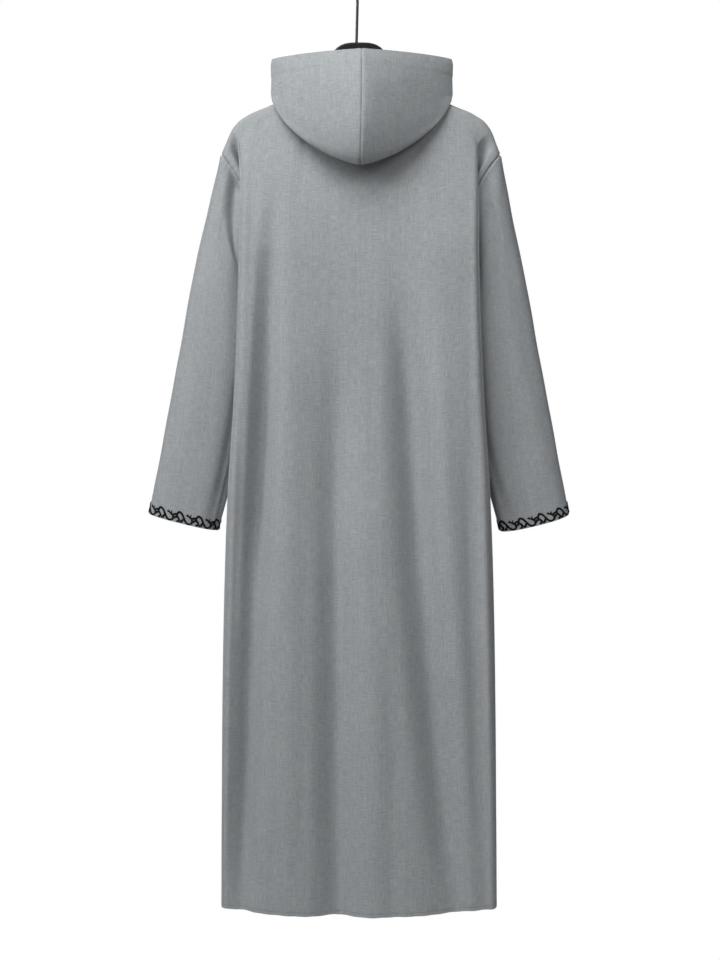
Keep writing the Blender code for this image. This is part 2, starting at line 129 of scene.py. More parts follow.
# Edges and seams
HEM_WIDTH = 6.5 * MM
HEM_EXTRA = 0.7 * MM
HEM_SINK, HEM_SINK_WIDTH = 0.3 * MM, 1.2 * MM
CUFF_TURN_UP = 24 * MM
RIM_TURN_UP = 30 * MM
RIM_SINK, RIM_SINK_WIDTH = 0.35 * MM, 1.8 * MM
SEAM_DIP = 2.8 * MM
SEAM_WIDTH = 1.8 * MM
SEAM_START, SEAM_FADE = NECK_HALF * 0.9, 10 * MM
PUCKER, PUCKER_LENGTH, PUCKER_PLACE, PUCKER_WIDTH = 0.35 * MM, 11 * MM, 4 * MM, 5 * MM
HOOD_PUCKER, HOOD_PUCKER_PLACE, HOOD_PUCKER_WIDTH = PUCKER * 0.8, 7 * MM, 6 * MM

# The ridge of the hood's centre seam, with its unevenness and the gutter beside it
RIDGE, RIDGE_WIDTH, RIDGE_START, RIDGE_FADE = 2.3 * MM, 1.0 * MM, 520 * MM, 80 * MM
RIDGE_WAVES = ((0.35, 9 * MM, 0.0), (0.25, 3.7 * MM, 1.0))
GUTTER, GUTTER_PLACE, GUTTER_WIDTH = 0.5 * MM, 6 * MM, 4 * MM

# The ridge along a side fold, and where the right one fades out
SIDE_RIDGE, SIDE_RIDGE_WIDTH, SIDE_RIDGE_GROWS, SIDE_RIDGE_ENDS = 3.4 * MM, 1.3 * MM, 0.5, 0.03
RIGHT_RIDGE_TOP, RIGHT_RIDGE_FADE = -330 * MM, 130 * MM

# Stitches, with the places, rises and widths along one of them
STITCH_LENGTH = 2.6 * MM
STITCH_GAP = 0.9 * MM
STITCH_RADIUS = 0.28 * MM
STITCH_PLACES = (0.0, 0.25, 0.5, 0.75, 1.0)
STITCH_RISES = (-0.3, 0.6, 1.0, 0.6, -0.3)
STITCH_WIDTHS = (0.5, 1.0, 1.0, 1.0, 0.5)
THREAD_SHADE = 0.72


def table(columns, *rows):
    """Rows of millimetres under named columns, as one array of metres for each column."""
    return {name: np.array(values) * MM for name, values in zip(columns.split(), zip(*rows))}


SHOULDER = table(
    "out height",
    (85, -212),
    (130, -234),
    (165, -249),
    (201, -265),
    (220, -279),
    (231, -295),
    (238, -312),
    (247, -334),
)

BODY = table(
    "height fold_out fold_back back seam_out seam_back front_out front_side front",
    (-510, 206, 42, 62, 180, -8, 177, -36, -56),
    (-570, 207, 43, 63, 172, -10, 170, -38, -58),
    (-660, 210, 43, 65, 172, -11, 172, -40, -60),
    (-790, 216, 43, 68, 184, -10, 186, -42, -64),
    (-911, 224, 42, 71, 204, -8, 207, -42, -68),
    (-1000, 228, 41, 74, 216, -6, 219, -42, -72),
    (-1200, 234, 41, 82, 230, -3, 231, -43, -80),
    (-1450, 238, 42, 90, 236, 0, 237, -44, -88),
    (-1648, 239, 44, 95, 238, 0, 238, -46, -92),
)

SLEEVE = table(
    "row outer_out outer_height inner_out inner_height half_thick back",
    (0, 247, -334, 180, -510, 30, -12),
    (60, 251, -350, 193, -520, 33, -15),
    (140, 258, -378, 198, -552, 37, -18),
    (240, 271, -437, 194, -606, 40, -20),
    (400, 296, -556, 193, -690, 41, -20),
    (600, 322, -697, 205, -790, 38, -20),
    (800, 348, -839, 223, -893, 33, -19),
    (1000, 373, -968, 250, -998, 28, -16),
)

# The long folds that the solids have too
FOLDS = {
    BACK: table(
        "top foot out_top out_mid out_foot reach depth",
        (-440, -1760, 151, 178, 208, 21, 17),
        (-560, -1800, 48, 36, 30, 40, 13),
        (-390, -1640, -64, -112, -156, 34, 19),
        (-560, -1800, -16, -20, -24, 28, -5),
        (-460, -1640, -124, -156, -190, 24, -5),
        (-500, -1760, 118, 126, 134, 26, -5),
        (-720, -1700, -188, -196, -212, 14, 4),
    ),
    FRONT: table(
        "top foot out_top out_mid out_foot reach depth",
        (-520, -1650, -120, -160, -196, 28, 14),
        (-600, -1760, -48, -62, -74, 36, 11),
        (-680, -1760, 52, 66, 84, 36, 12),
        (-560, -1660, 116, 152, 188, 26, 13),
        (-640, -1800, 2, 0, 4, 30, -6),
        (-640, -1700, -96, -112, -134, 28, -5),
    ),
}

# Creases laid over them, which fade out at their feet
CREASES = {
    BACK: table(
        "top foot out_top out_mid out_foot reach depth",
        (-120, -1050, 0, 0, 0, 120, 14.0),
        (-240, -900, 201, 201, 206, 9, -4.0),
        (-240, -900, -203, -203, -208, 9, -3.0),
        (-350, -1150, 146, 164, 192, 19, 14.0),
        (-640, -1760, 166, 191, 198, 17, 12.5),
        (-560, -1800, 206, 226, 236, 9, -9.5),
        (-400, -1300, 176, 194, 214, 8, -3.0),
        (-520, -2300, 38, 37, 30, 20, 8.0),
        (-640, -2300, 50, 46, 38, 34, 8.5),
        (-600, -2300, 88, 84, 82, 20, -3.0),
        (-560, -1150, -60, -92, -106, 20, 5.5),
        (-560, -1800, -78, -112, -210, 29, 15.0),
        (-700, -2000, -140, -164, -190, 18, 2.0),
        (-640, -1700, -130, -152, -176, 20, -4.0),
        (-480, -2300, -203, -229, -239, 10, -8.5),
        (-560, -1250, -20, -24, -30, 11, 1.6),
        (-760, -1700, 90, 92, 96, 13, 1.8),
        (-1050, -2000, 136, 142, 150, 14, 2.0),
        (-1100, -2000, -60, -58, -52, 16, 2.0),
    ),
    FRONT: table(
        "top foot out_top out_mid out_foot reach depth",
        (-400, -1300, -130, -150, -172, 15, 6.0),
        (-420, -1350, 126, 144, 166, 14, 6.5),
        (-620, -2100, -172, -196, -206, 14, 7.0),
        (-700, -2100, 160, 184, 200, 15, 6.0),
        (-560, -2000, 28, 44, 60, 16, 5.0),
        (-620, -1500, -34, -48, -58, 16, 4.5),
        (-760, -1700, -92, -96, -108, 14, -3.0),
        (-800, -2000, 88, 92, 104, 16, -3.5),
        (-560, -2300, 196, 222, 234, 10, -6.0),
        (-560, -2300, -196, -222, -234, 10, -6.0),
    ),
}

# Creases of a sleeve: its two ends along the sleeve, its turn round the sleeve at each, its reach round, its
# depth, and its depth on the right sleeve. Turns run from the overarm line by the back, in thousandths.
SLEEVE_CREASES = table(
    "start end turn_start turn_end reach depth right_depth",
    (-60, 190, 170, 290, 42, 14.0, 2.5),
    (0, 420, 330, 300, 34, 1.6, 2.2),
    (40, 700, 395, 372, 26, 0.8, 1.6),
    (460, 1100, 385, 372, 34, 4.6, 3.4),
    (420, 1080, 445, 435, 30, 6.0, 0.6),
    (200, 900, 150, 128, 40, 1.6, 1.6),
    (0, 300, 205, 226, 26, 1.6, 2.4),
    (120, 800, 640, 668, 36, 3.0, 3.0),
    (450, 1040, 780, 760, 40, 2.4, 2.4),
    (300, 1040, 905, 890, 40, 1.6, 1.6),
)

HOOD = table(
    "row out side_back side_height back back_height front front_height",
    (0, 85, 0, -212, 42, -240, -48, -288),
    (100, 91, 0, -199, 47, -226, -51, -280),
    (200, 104, 0, -194, 58, -221, -54, -274),
    (300, 122, 1, -206, 66, -246, -57, -269),
    (400, 138, 3, -218, 70, -292, -60, -265),
    (500, 150, 9, -225, 75, -340, -62, -262),
    (600, 157, 12, -236, 84, -366, -63, -259),
    (700, 160, 5, -229, 106, -352, -65, -256),
    (800, 160, 0, -212, 120, -304, -67, -252),
    (900, 160, -7, -191, 116, -240, -69, -248),
    (1000, 160, -12, -174, 102, -191, -71, -244),
    (1100, 159, -15, -162, 88, -168, -72, -241),
)

# How pointed the hood is behind, seen from above (plan), and how its height falls from side to back (drop)
HOOD_POWERS = table(
    "row plan drop",
    (0, 1000, 2000),
    (500, 1120, 1560),
    (600, 1350, 1300),
    (700, 1550, 1300),
    (800, 1650, 1350),
    (1000, 1700, 1900),
    (1100, 1700, 3000),
)
HOOD_SEAM_RISE = 0.9 * MM
HOOD_SHOULDER_RISE = 0.6 * MM

# Soft hollows in the hood: its place along the rings and round from the back, its reach each way, its depth
HOOD_HOLLOWS = table(
    "row turn row_reach turn_reach depth",
    (930, 190, 90, 130, 2.2),
    (780, 330, 120, 90, 1.8),
    (870, 60, 110, 40, 1.2),
    (300, 240, 100, 120, 1.5),
    (1010, 420, 60, 80, 1.6),
)

# One repeat of the cuff's running scroll: a line's points along the cuff and above its edge, in millimetres
SCROLL_PITCH = 32 * MM
SCROLL_LINES = {
    "wave": ((-2.6, 14.6), (-0.2, 19.0), (4.8, 17.2), (9.0, 11.2), (13.0, 5.0), (17.2, 2.0), (21.4, 2.4)),
    "curl": ((21.4, 2.4), (23.8, 5.8), (23.0, 10.0), (20.2, 13.2), (17.0, 14.4)),
    "leg": ((-2.6, 14.6), (-2.0, 11.4), (0.8, 8.4), (2.4, 5.6), (0.8, 3.2), (-1.6, 1.8)),
    "upper link": ((22.4, 11.2), (25.2, 13.8), (29.4, 14.6)),
    "lower link": ((23.8, 6.0), (26.6, 8.8), (30.2, 11.0)),
    "foot": ((9.4, 9.2), (7.4, 5.4), (4.2, 1.8)),
}
SCROLL_LEAVES = table(
    "foot height tip tip_height half_width",
    (17.2, 14.2, 11.6, 16.6, 1.3),
    (17.4, 14.4, 14.0, 18.6, 1.1),
    (18.4, 14.0, 20.8, 18.6, 1.2),
    (2.2, 4.8, -2.4, 1.6, 1.2),
    (7.2, 5.0, 3.6, 1.4, 1.3),
    (7.0, 5.2, 8.6, 1.8, 1.0),
)
SCROLL_EDGE_GAP = 0.2 * MM
SCROLL_LIFT = 0.15 * MM
CORD_TIP, CORD_HEIGHT = 0.35, 0.75
LEAF_SHAPE = (0.25, 0.75, 1.0, 0.8, 0.15)
LEAF_HEIGHT = 0.6
CORD_SIDES = 8
CORD_GRAIN = 6 * MM

# The yarns' noises over the grain map, each its scale along x, y and z, its detail and its spread: warp,
# weft, long warp slubs, the heather's mottle and the patches where warp or weft shows more
YARN_NOISES = (
    ((520.0, 60.0, 1.0), 1.0, 0.17),
    ((58.0, 540.0, 7.0), 1.0, 0.17),
    ((230.0, 7.0, 3.0), 1.0, 0.2),
    ((26.0, 19.0, 5.0), 3.0, 0.25),
    ((52.0, 46.0, 9.0), 1.0, 0.2),
)
PATCH_STRENGTH = 0.75
WEAVE_PITCH = 1.3 * MM
WEAVE_RELIEF = (0.35, 0.25 * MM)
WEAVE_SOCKETS = (
    ("Grain", "INPUT", "Vector"),
    ("Slub contrast", "INPUT", "Float"),
    ("Heather contrast", "INPUT", "Float"),
    ("Tone", "OUTPUT", "Float"),
    ("Shade", "OUTPUT", "Float"),
    ("Height", "OUTPUT", "Float"),
)
COOL_TINT, WARM_TINT = (0.985, 1.0, 1.012), (1.01, 1.0, 0.985)
CLOTH_FINISH = {"Roughness": 0.86, "Specular IOR Level": 0.25, "Sheen Weight": 0.12, "Sheen Roughness": 0.5}
THREAD_RELIEF = (0.5, 0.2 * MM)
# How dark the thread's colour is painted in the grooves of its twist: painted shade
THREAD_GROOVE_PAINTED_SHADE = 0.6
SKIN_CONTRAST = 0.2

# The flat size, width by length, and the area of each piece of cloth
FLAT = {
    "back_panel": ((0.66, 1.47), 0.80),
    "front_panel": ((0.70, 1.47), 0.72),
    "sleeve": ((0.43, 0.66), 0.176),
    "hood": ((0.43, 0.40), 0.064),
}

# The stage, in metres
SEEN_POINT = (-0.00177, 0.0, -0.9096)
LIT_POINT = (0.0, 0.0, -0.6)
LIGHTS = {
    "key": (2.0, (0.9, 1.55, 1.36)),
    "side": (0.9, (2.3, 1.5, 0.45)),
    "fill": (1.2, (-1.4, 2.1, 0.8)),
    "front": (1.4, (0.9, -2.8, 0.4)),
}
FLOOR_MIDDLE = 1.75
FLOOR_CORNERS = 96
FLOOR_RINGS = ((0.02, -2.0), (1.0, -2.0), (2.2, -2.0), (2.6, -1.995), (2.62, -2.01))


def follow(rows, key, column, at):
    """A smooth curve through one column of a table, read at the given places of its key column."""
    where, values = rows[key], rows[column]
    if where[0] > where[-1]:
        where, values = where[::-1], values[::-1]
    slopes = np.gradient(values, where)
    at = np.clip(np.asarray(at, dtype=float), where[0], where[-1])
    span = np.clip(np.searchsorted(where, at) - 1, 0, len(where) - 2)
    width = where[span + 1] - where[span]
    t = (at - where[span]) / width
    start = (1 + 2 * t) * (1 - t) ** 2 * values[span] + t * (1 - t) ** 2 * width * slopes[span]
    end = t * t * (3 - 2 * t) * values[span + 1] - t * t * (1 - t) * width * slopes[span + 1]
    return start + end


def read_row(rows, at):
    """Every later column of a table at one place of its first column."""
    key, *names = rows
    return [float(follow(rows, key, name, at)) for name in names]


def line_lengths(line):
    """The length from a line's first point to each of its points."""
    steps = np.linalg.norm(np.diff(line, axis=0), axis=1)
    return np.concatenate([[0.0], np.cumsum(steps)])


def read_line(line, length, at):
    """The points of a line at the given lengths along it."""
    return np.stack([np.interp(at, length, column) for column in line.T], axis=-1)


def evenly(points, shares):
    """Points at the given shares of the length of a line of points."""
    length = line_lengths(points)
    return read_line(points, length, np.asarray(shares) * length[-1])


def share_between(columns, first, last):
    return np.clip((columns - first) / (last - first), 0.0, 1.0)


def smooth(t):
    t = np.clip(t, 0.0, 1.0)
    return t * t * (3 - 2 * t)


def bump(distance, width):
    """1 on a line, falling softly to nothing at about twice the width from it."""
    return np.exp(-((distance / width) ** 2))


def run_along(grid, axis):
    """The length from the grid's first line to each point, measured along one axis of the grid."""
    steps = np.linalg.norm(np.diff(grid, axis=axis), axis=-1)
    start = np.zeros_like(np.take(steps, [0], axis=axis))
    return np.concatenate([start, np.cumsum(steps, axis=axis)], axis=axis)


def facing(grid, outward):
    """The unit way out of the cloth at every point of a grid."""
    normal = np.cross(np.gradient(grid, axis=1), np.gradient(grid, axis=0))
    normal /= np.maximum(np.linalg.norm(normal, axis=-1, keepdims=True), 1e-12)
    return normal if outward else -normal


def lifted(grid, outward, lift):
    """A grid moved out by a lift at every point, and the ways out of it."""
    normals = facing(grid, outward)
    return grid + normals * lift[..., None], normals


def blend_rows(grid, row):
    """The point of each column of a grid at a broken row number."""
    low = np.minimum(row.astype(int), len(grid) - 2)
    part, column = (row - low)[:, None], np.arange(len(row))
    return grid[low, column] * (1 - part) + grid[low + 1, column] * part


def drift(a, b, seed):
    """A slow unevenness between -1 and 1 over two coordinates."""
    turn = 1.7 * seed
    waves = np.sin(a * 2.1 + turn) * np.cos(b * 1.3 - turn) + np.sin(a * 4.7 - b * 1.9 + 2 * turn) * 0.6
    return (waves + np.cos(a * 1.1 + b * 3.9 + 3 * turn) * 0.5) / 2.1


def fold_depth(rows, x, z, loss=FOLD_LOSS):
    """How far a table of long folds presses the cloth in at each place of the back or front."""
    total = np.zeros(np.broadcast(x, z).shape)
    for top, foot, out_top, out_mid, out_foot, reach, depth in zip(*rows.values()):
        t = np.clip((top - z) / (top - foot), 0.0, 1.0)
        place = (1 - t) * (1 - 2 * t) * out_top + 4 * t * (1 - t) * out_mid + t * (2 * t - 1) * out_foot
        fade = smooth(t / FOLD_GROWS) * (1 - loss * smooth((t - FOLD_WEAKENS) / (1 - FOLD_WEAKENS)))
        total += depth * fade * bump(x - place, reach)
    return total


def folds_pressed(face, columns, x, height):
    """How far the long folds press in, which ends at the side fold."""
    return fold_depth(FOLDS[face], x, height) * smooth((FOLDS_END_COLUMN - columns) / FOLDS_END_WIDTH)


def half_section(height, face, columns):
    """The body's half outline at one height: out and back of each column, centre line to side seam."""
    *on_back, seam_out, seam_back, front_out, front_side, front = read_row(BODY, height)
    out, side, deep = on_back if face == BACK else (front_out, front_side, front)
    angle = np.linspace(0.0, math.pi / 2, OUTLINE_POINTS)
    power = 2 / FACE_POWER
    arc = np.stack([out * np.sin(angle) ** power, side + (deep - side) * np.cos(angle) ** power], axis=-1)
    on_face = evenly(arc, share_between(columns, 0, FOLD_COLUMN))
    turn = share_between(columns, FOLD_COLUMN, SEAM_COLUMN)
    turned_out = seam_out + (out - seam_out) * (1 + np.cos(math.pi * turn)) / 2
    turned_back = side + (seam_back - side) * turn
    past = columns > FOLD_COLUMN
    return np.where(past, turned_out, on_face[:, 0]), np.where(past, turned_back, on_face[:, 1])


def top_edge(face, columns):
    """The neckline and shoulder seam: out, back and height of each column."""
    angle = share_between(columns, 0, NECK_COLUMN) * math.pi / 2
    slit = SLIT_HALF if face == FRONT else 0.0
    neck_out = slit + (NECK_HALF - slit) * np.sin(angle)
    neck_back = face * NECK_REACH[face] * np.cos(angle)
    neck_height = NECK_POINT_Z - NECK_DROP[face] * np.cos(angle) ** 2
    dense = np.linspace(SHOULDER["out"][0], SHOULDER["out"][-1], SHOULDER_POINTS)
    line = np.stack([dense, follow(SHOULDER, "out", "height", dense)], axis=-1)
    on_arm = share_between(columns, NECK_COLUMN, FOLD_COLUMN) * FOLD_SHARE
    past_arm = share_between(columns, FOLD_COLUMN, SEAM_COLUMN) * (1 - FOLD_SHARE)
    shoulder = evenly(line, on_arm + past_arm)
    past = columns > NECK_COLUMN
    out = np.where(past, shoulder[:, 0], neck_out)
    return out, np.where(past, 0.0, neck_back), np.where(past, shoulder[:, 1], neck_height)


def lean(height):
    """The robe's top hangs a little to one side of the hook."""
    return TOP_LEAN * smooth((height - UNDERARM_Z) / (NECK_POINT_Z - UNDERARM_Z))


def shoulder_round(drop):
    """How far the cloth stands out from the shoulder seam's line a little below it."""
    inside = np.clip(SHOULDER_RADIUS - drop, 0.0, None)
    return np.sqrt(SHOULDER_RADIUS**2 - inside**2)


def yoke_depth(face, top_back, drop, low_back, share):
    """How far back, or forward, the yoke lies between the top edge and the underarm's section."""
    start = np.maximum(face * top_back, shoulder_round(drop))
    settled = np.maximum(face * top_back, SHOULDER_RADIUS)
    return face * start + (low_back - face * settled) * share * (1 + YOKE_EASE - YOKE_EASE * share)


def yoke_row(side, face, columns, share, drape):
    """One row between the shoulder and the underarm; share is 0 at the shoulder and 1 at the underarm."""
    top_out, top_back, top_height = top_edge(face, columns)
    low_out, low_back = half_section(UNDERARM_Z, face, columns)
    drop = (top_height - UNDERARM_Z) * share
    past = share_between(columns, FOLD_COLUMN, SEAM_COLUMN)
    power = YOKE_SPREAD["fold"] + (YOKE_SPREAD["seam"] - YOKE_SPREAD["fold"]) * past
    out = low_out + (top_out - low_out) * (1 - share) ** power
    face_back = yoke_depth(face, top_back, drop, low_back, share)
    fold_back = face_back[np.searchsorted(columns, FOLD_COLUMN)]
    edge_back = face * shoulder_round(drop[-1]) + (low_back[-1] - face * SHOULDER_RADIUS) * share**2
    edge_back += face * ARMHOLE_BULGE[face] * math.sin(math.pi * share)
    tuck = ARMPIT_TUCK[face] * math.sin(math.pi * min(1.0, share / TUCK_SHARE)) ** 2
    turn = (1 - past) * share**4 + (1 - past**RETURN_POWER) * (1 - share**4)
    turned = edge_back + (fold_back - edge_back) * turn
    turned -= face * tuck * np.sin(math.pi * np.clip(past * TUCK_WIDTH, 0.0, 1.0))
    back = np.where(past > 0, turned, face_back)
    height = top_height - drop
    if face == FRONT:
        open_share = np.clip(1 - (NECK_POINT_Z - NECK_DROP[FRONT] - height) / SLIT_LENGTH, 0.0, 1.0)
        out = np.where(columns == 0, SLIT_HALF * open_share, out)
    drawn = bump(columns - FOLD_COLUMN, SIDE_DRAW_WIDTH) * (1 - share) ** 4 * smooth(share / SIDE_DRAW_START)
    x = side * (out - drape * SIDE_DRAW[side] * drawn * (face == BACK))
    settle = smooth(share / CREASES_START_SHARE) * smooth((CREASES_END_COLUMN - columns) / CREASES_END_WIDTH)
    back = back - face * drape * fold_depth(CREASES[face], x, height, 1.0) * settle
    back = back - face * folds_pressed(face, columns, x, height)
    if face == BACK:
        wedge = bump(past - WEDGE_PLACE, WEDGE_WIDTH) * smooth(past / WEDGE_START)
        back = back - drape * WEDGE_DEPTH[side] * wedge * math.sin(math.pi * min(1.0, share / WEDGE_SHARE))
    return np.stack([x + lean(height), back, height], axis=-1)


def body_row(side, face, columns, share, drape):
    """One row between the underarm, share 0, and the hem, share 1."""
    height = UNDERARM_Z + (HEM_SIDE_Z - UNDERARM_Z) * share
    out, back = half_section(height, face, columns)
    x = side * out
    pressed = folds_pressed(face, columns, x, height)
    creased = fold_depth(CREASES[face], x, height, 1.0)
    pressed += drape * creased * smooth((CREASES_END_COLUMN - columns) / CREASES_END_WIDTH)
    back = back - face * pressed
    wander = drape * BODY_WANDER * drift(x / WANDER_ACROSS, height / WANDER_ALONG, 1 + face)
    wander = wander * smooth(share / WANDER_START) * smooth((SEAM_COLUMN - columns) / WANDER_EDGE)
    back = back + face * wander
    hem_drop = HEM_DROP[face] * share**3 * np.cos(share_between(columns, 0, FOLD_COLUMN) * math.pi / 2)
    waver = HEM_WAVER * drift(x / WAVER_ACROSS, 0.3, 2 + face) * smooth((share - 1) / WAVER_SHARE + 1)
    return np.stack([x, back, height - hem_drop + waver], axis=-1)


def fine_columns():
    """Columns from the centre line to the side seam, closer together at the side fold and the seam."""
    even = np.linspace(0, SEAM_COLUMN, SEAM_COLUMN * COLUMN_PARTS + 1)
    return np.sort(np.round(np.concatenate([even, CLOSE_COLUMNS]), 6))


def half_panel(side, face, drape):
    """Rows from the hem up to the shoulder, columns from the centre line to the side seam or armhole."""
    columns = fine_columns()
    length = UNDERARM_Z - HEM_SIDE_Z
    hem = 1 - np.array(HEM_ROWS) * MM / length
    shares = np.concatenate([hem, np.linspace(1 - HEM_ROWS_END / length, 0.0, BODY_ROWS)[:-1]])
    rows = [body_row(side, face, columns, share, drape) for share in shares]
    places = np.linspace(0, len(YOKE_SHARES) - 1, (len(YOKE_SHARES) - 1) * YOKE_PARTS + 1)
    yoke = np.interp(places, np.arange(len(YOKE_SHARES)), YOKE_SHARES)
    rows += [yoke_row(side, face, columns, share, drape) for share in yoke]
    return np.array(rows), len(shares)


def puckers(along, turn=0.0):
    return np.sin(along / PUCKER_LENGTH * 2 * math.pi + turn)


def panel_push(grid, underarm_row, seed):
    """The ridge along the panel's side fold, and its seams as shallow dips with small puckers beside them."""
    across = run_along(grid, 1)
    to_side = across[:, -1:] - across
    along = run_along(grid, 0)
    to_fold = across - across[:, [np.searchsorted(fine_columns(), FOLD_COLUMN)]]
    height = along / along[-1:]
    push = SIDE_RIDGE * bump(to_fold, SIDE_RIDGE_WIDTH) * smooth(height / SIDE_RIDGE_GROWS)
    push *= smooth((1 - height) / SIDE_RIDGE_ENDS)
    right = grid[:, -1:, 0] < 0
    push *= np.where(right, smooth((RIGHT_RIDGE_TOP - grid[..., 2]) / RIGHT_RIDGE_FADE), 1.0)
    push -= SEAM_DIP * bump(to_side, SEAM_WIDTH)
    push += PUCKER * puckers(along, seed) * bump(to_side - PUCKER_PLACE, PUCKER_WIDTH)
    to_top = along[-1:] - along
    rows = np.arange(len(grid))[:, None] >= underarm_row
    return push - SEAM_DIP * bump(to_top, SEAM_WIDTH) * rows * smooth((across - SEAM_START) / SEAM_FADE)


def sleeve_oval(side, t, angle):
    """The sleeve's ring at share t of its length, before it is fitted to the armhole."""
    outer_out, outer_height, inner_out, inner_height, half_thick, back = read_row(SLEEVE, t)
    waves = np.stack([np.cos(angle), np.sin(angle)])
    across, around = np.sign(waves) * np.abs(waves) ** (2 / SLEEVE_POWER)
    out = (outer_out + inner_out) / 2 + (outer_out - inner_out) / 2 * across
    height = (outer_height + inner_height) / 2 + (outer_height - inner_height) / 2 * across
    height -= CUFF_DROOP[side] * around * smooth((t - CUFF_DROOP_START) / (1 - CUFF_DROOP_START))
    return np.stack([side * out + lean(height), back + half_thick * around, height], axis=-1)


def sleeve_shares():
    """The sleeve's rings as shares of its length, close together at the armhole and at the cuff."""
    return np.concatenate([SLEEVE_FIRST, np.linspace(*SLEEVE_EVEN, SLEEVE_RINGS), 1 - np.array(SLEEVE_LAST)])


def sleeve_rings(side, back_half, front_half, underarm_row):
    """Rings from the armhole to the cuff; each ring runs from the overarm line by the back round to it."""
    back_edge = back_half[underarm_row:, -1][::-1]
    front_edge = front_half[underarm_row:, -1]
    armhole = np.concatenate([back_edge, front_edge[1:]])
    angle = np.linspace(0.0, 2 * math.pi, len(armhole))
    shift = armhole - sleeve_oval(side, 0.0, angle)
    shares = sleeve_shares()
    rings = [sleeve_oval(side, t, angle) + shift * (1 - smooth(t / SLEEVE_CAP_SHARE)) for t in shares]
    return np.array(rings), shares, angle


def sleeve_push(rings, shares, angle, side, drape):
    """The sleeve's creases, its armhole seam and the slow unevenness of hanging cloth."""
    t, turn = shares[:, None], (angle / (2 * math.pi))[None, :]
    push = np.zeros(rings.shape[:2])
    for start, end, turn_start, turn_end, reach, depth, right_depth in zip(*SLEEVE_CREASES.values()):
        depth = depth if side == LEFT else right_depth
        u = np.clip((t - start) / (end - start), 0.0, 1.0)
        place = turn_start + (turn_end - turn_start) * u + TURN_SHIFT[side] * np.sin(u * 5)
        push -= depth * drape * np.sin(math.pi * u) ** 0.8 * bump(turn - place, reach)
    push += SLEEVE_WANDER * drape * drift(t * 9, np.sin(angle)[None, :] * 2, 3 + side)
    along = run_along(rings, 0)
    push *= smooth(along / SLEEVE_WANDER_START)
    push -= SEAM_DIP * bump(along, SEAM_WIDTH)
    return push + PUCKER * puckers(run_along(rings, 1)) * bump(along - PUCKER_PLACE, PUCKER_WIDTH)


def hood_half(side, keys):
    """Rings of half the hood from the neck seam to the rim; columns run from the back to the front."""
    angle = hood_angles()
    behind = angle <= math.pi / 2
    across, along = np.abs(np.sin(angle)), np.abs(np.cos(angle))
    rows = []
    for key in keys:
        out, side_back, side_height, back, back_height, front, front_height = read_row(HOOD, key)
        plan, drop = (np.interp(key, HOOD_POWERS["row"], HOOD_POWERS[name]) for name in ("plan", "drop"))
        plan = np.where(behind, plan, 1.0)
        drop = np.where(behind, drop, 2 - key)
        slit = np.where(behind, 0.0, SLIT_HALF)
        reach = np.where(behind, out, NECK_HALF + (out - NECK_HALF) * across**2)
        x = slit + (reach - slit) * across**plan
        y = side_back + (np.where(behind, back, front) - side_back) * along**plan
        fall = np.where(behind, back_height, front_height) - side_height
        z = side_height + fall * along**drop
        z = z + (HOOD_SEAM_RISE + HOOD_SHOULDER_RISE * across**2) * (1 - smooth(key / (20 * MM)))
        rows.append(np.stack([side * x + lean(z), y, z], axis=-1))
    return np.array(rows), angle


def hood_angles():
    """Turns round the hood from its back to its front, close together at the centre seam."""
    return np.concatenate([HOOD_FIRST, np.linspace(HOOD_EVEN_START, math.pi, HOOD_COLUMNS)])


def hood_keys():
    """The hood's rings as places down its table, close together at the rim."""
    rim = HOOD["row"][-1]
    return np.concatenate([np.linspace(0.0, rim - HOOD_EVEN_END, HOOD_RINGS), rim - np.array(HOOD_LAST) * MM])


def hood_push(grid, keys, angle, side, drape):
    """The hood's soft hollows and its centre seam, which stands up as a puckered ridge."""
    turn = (angle / math.pi)[None, :]
    key = keys[:, None]
    push = np.zeros(grid.shape[:2])
    for row, where, row_reach, turn_reach, depth in zip(*HOOD_HOLLOWS.values()):
        hollow = drape * depth * bump(key - row, row_reach)
        push -= hollow * bump(turn - where - TURN_SHIFT[side], turn_reach)
    across = run_along(grid, 1)
    along = run_along(grid, 0)
    uneven = sum((size * np.sin(along / length + start) for size, length, start in RIDGE_WAVES), 1)
    shown = smooth((key - RIDGE_START) / RIDGE_FADE)
    push += RIDGE * bump(across, RIDGE_WIDTH) * uneven * shown
    push -= GUTTER * bump(across - GUTTER_PLACE, GUTTER_WIDTH) * shown
    push += HOOD_PUCKER * puckers(along) * bump(across - HOOD_PUCKER_PLACE, HOOD_PUCKER_WIDTH)
    from_rim = along[-1:] - along
    return push - RIM_SINK * bump(from_rim - RIM_TURN_UP, RIM_SINK_WIDTH)


def welded(parts):
    """Points, faces, face corners' grain coordinates and per-point values of grids that share edges."""
    points, cells, grains, values = [], [], [], []
    count = 0
    for grid, outward, grain, push, extra in parts:
        rows, columns = grid.shape[:2]
        index = count + np.arange(rows * columns).reshape(rows, columns)
        corners = [index[:-1, :-1], index[:-1, 1:], index[1:, 1:], index[1:, :-1]]
        if not outward:
            corners = [corners[0], corners[3], corners[2], corners[1]]
        cells.append(np.stack([corner.ravel() for corner in corners], axis=1))
        points.append(grid.reshape(-1, 3))
        grains.append(grain.reshape(-1, 2))
        values.append(np.stack([push.ravel(), extra.ravel()], axis=1))
        count += rows * columns
    points, cells = np.concatenate(points), np.concatenate(cells)
    grains, values = np.concatenate(grains), np.concatenate(values)
    cells_of_space = np.round(points / WELD_LENGTH).astype(np.int64)
    _, first, same = np.unique(cells_of_space, axis=0, return_index=True, return_inverse=True)
    same = same.ravel()
    mean = np.stack([np.bincount(same, column) for column in values.T], axis=1)
    mean /= np.bincount(same)[:, None]
    faces = same[cells]
    whole = np.array([len(set(face)) == 4 for face in faces.tolist()])
    return points[first], faces[whole], grains[cells][whole], mean


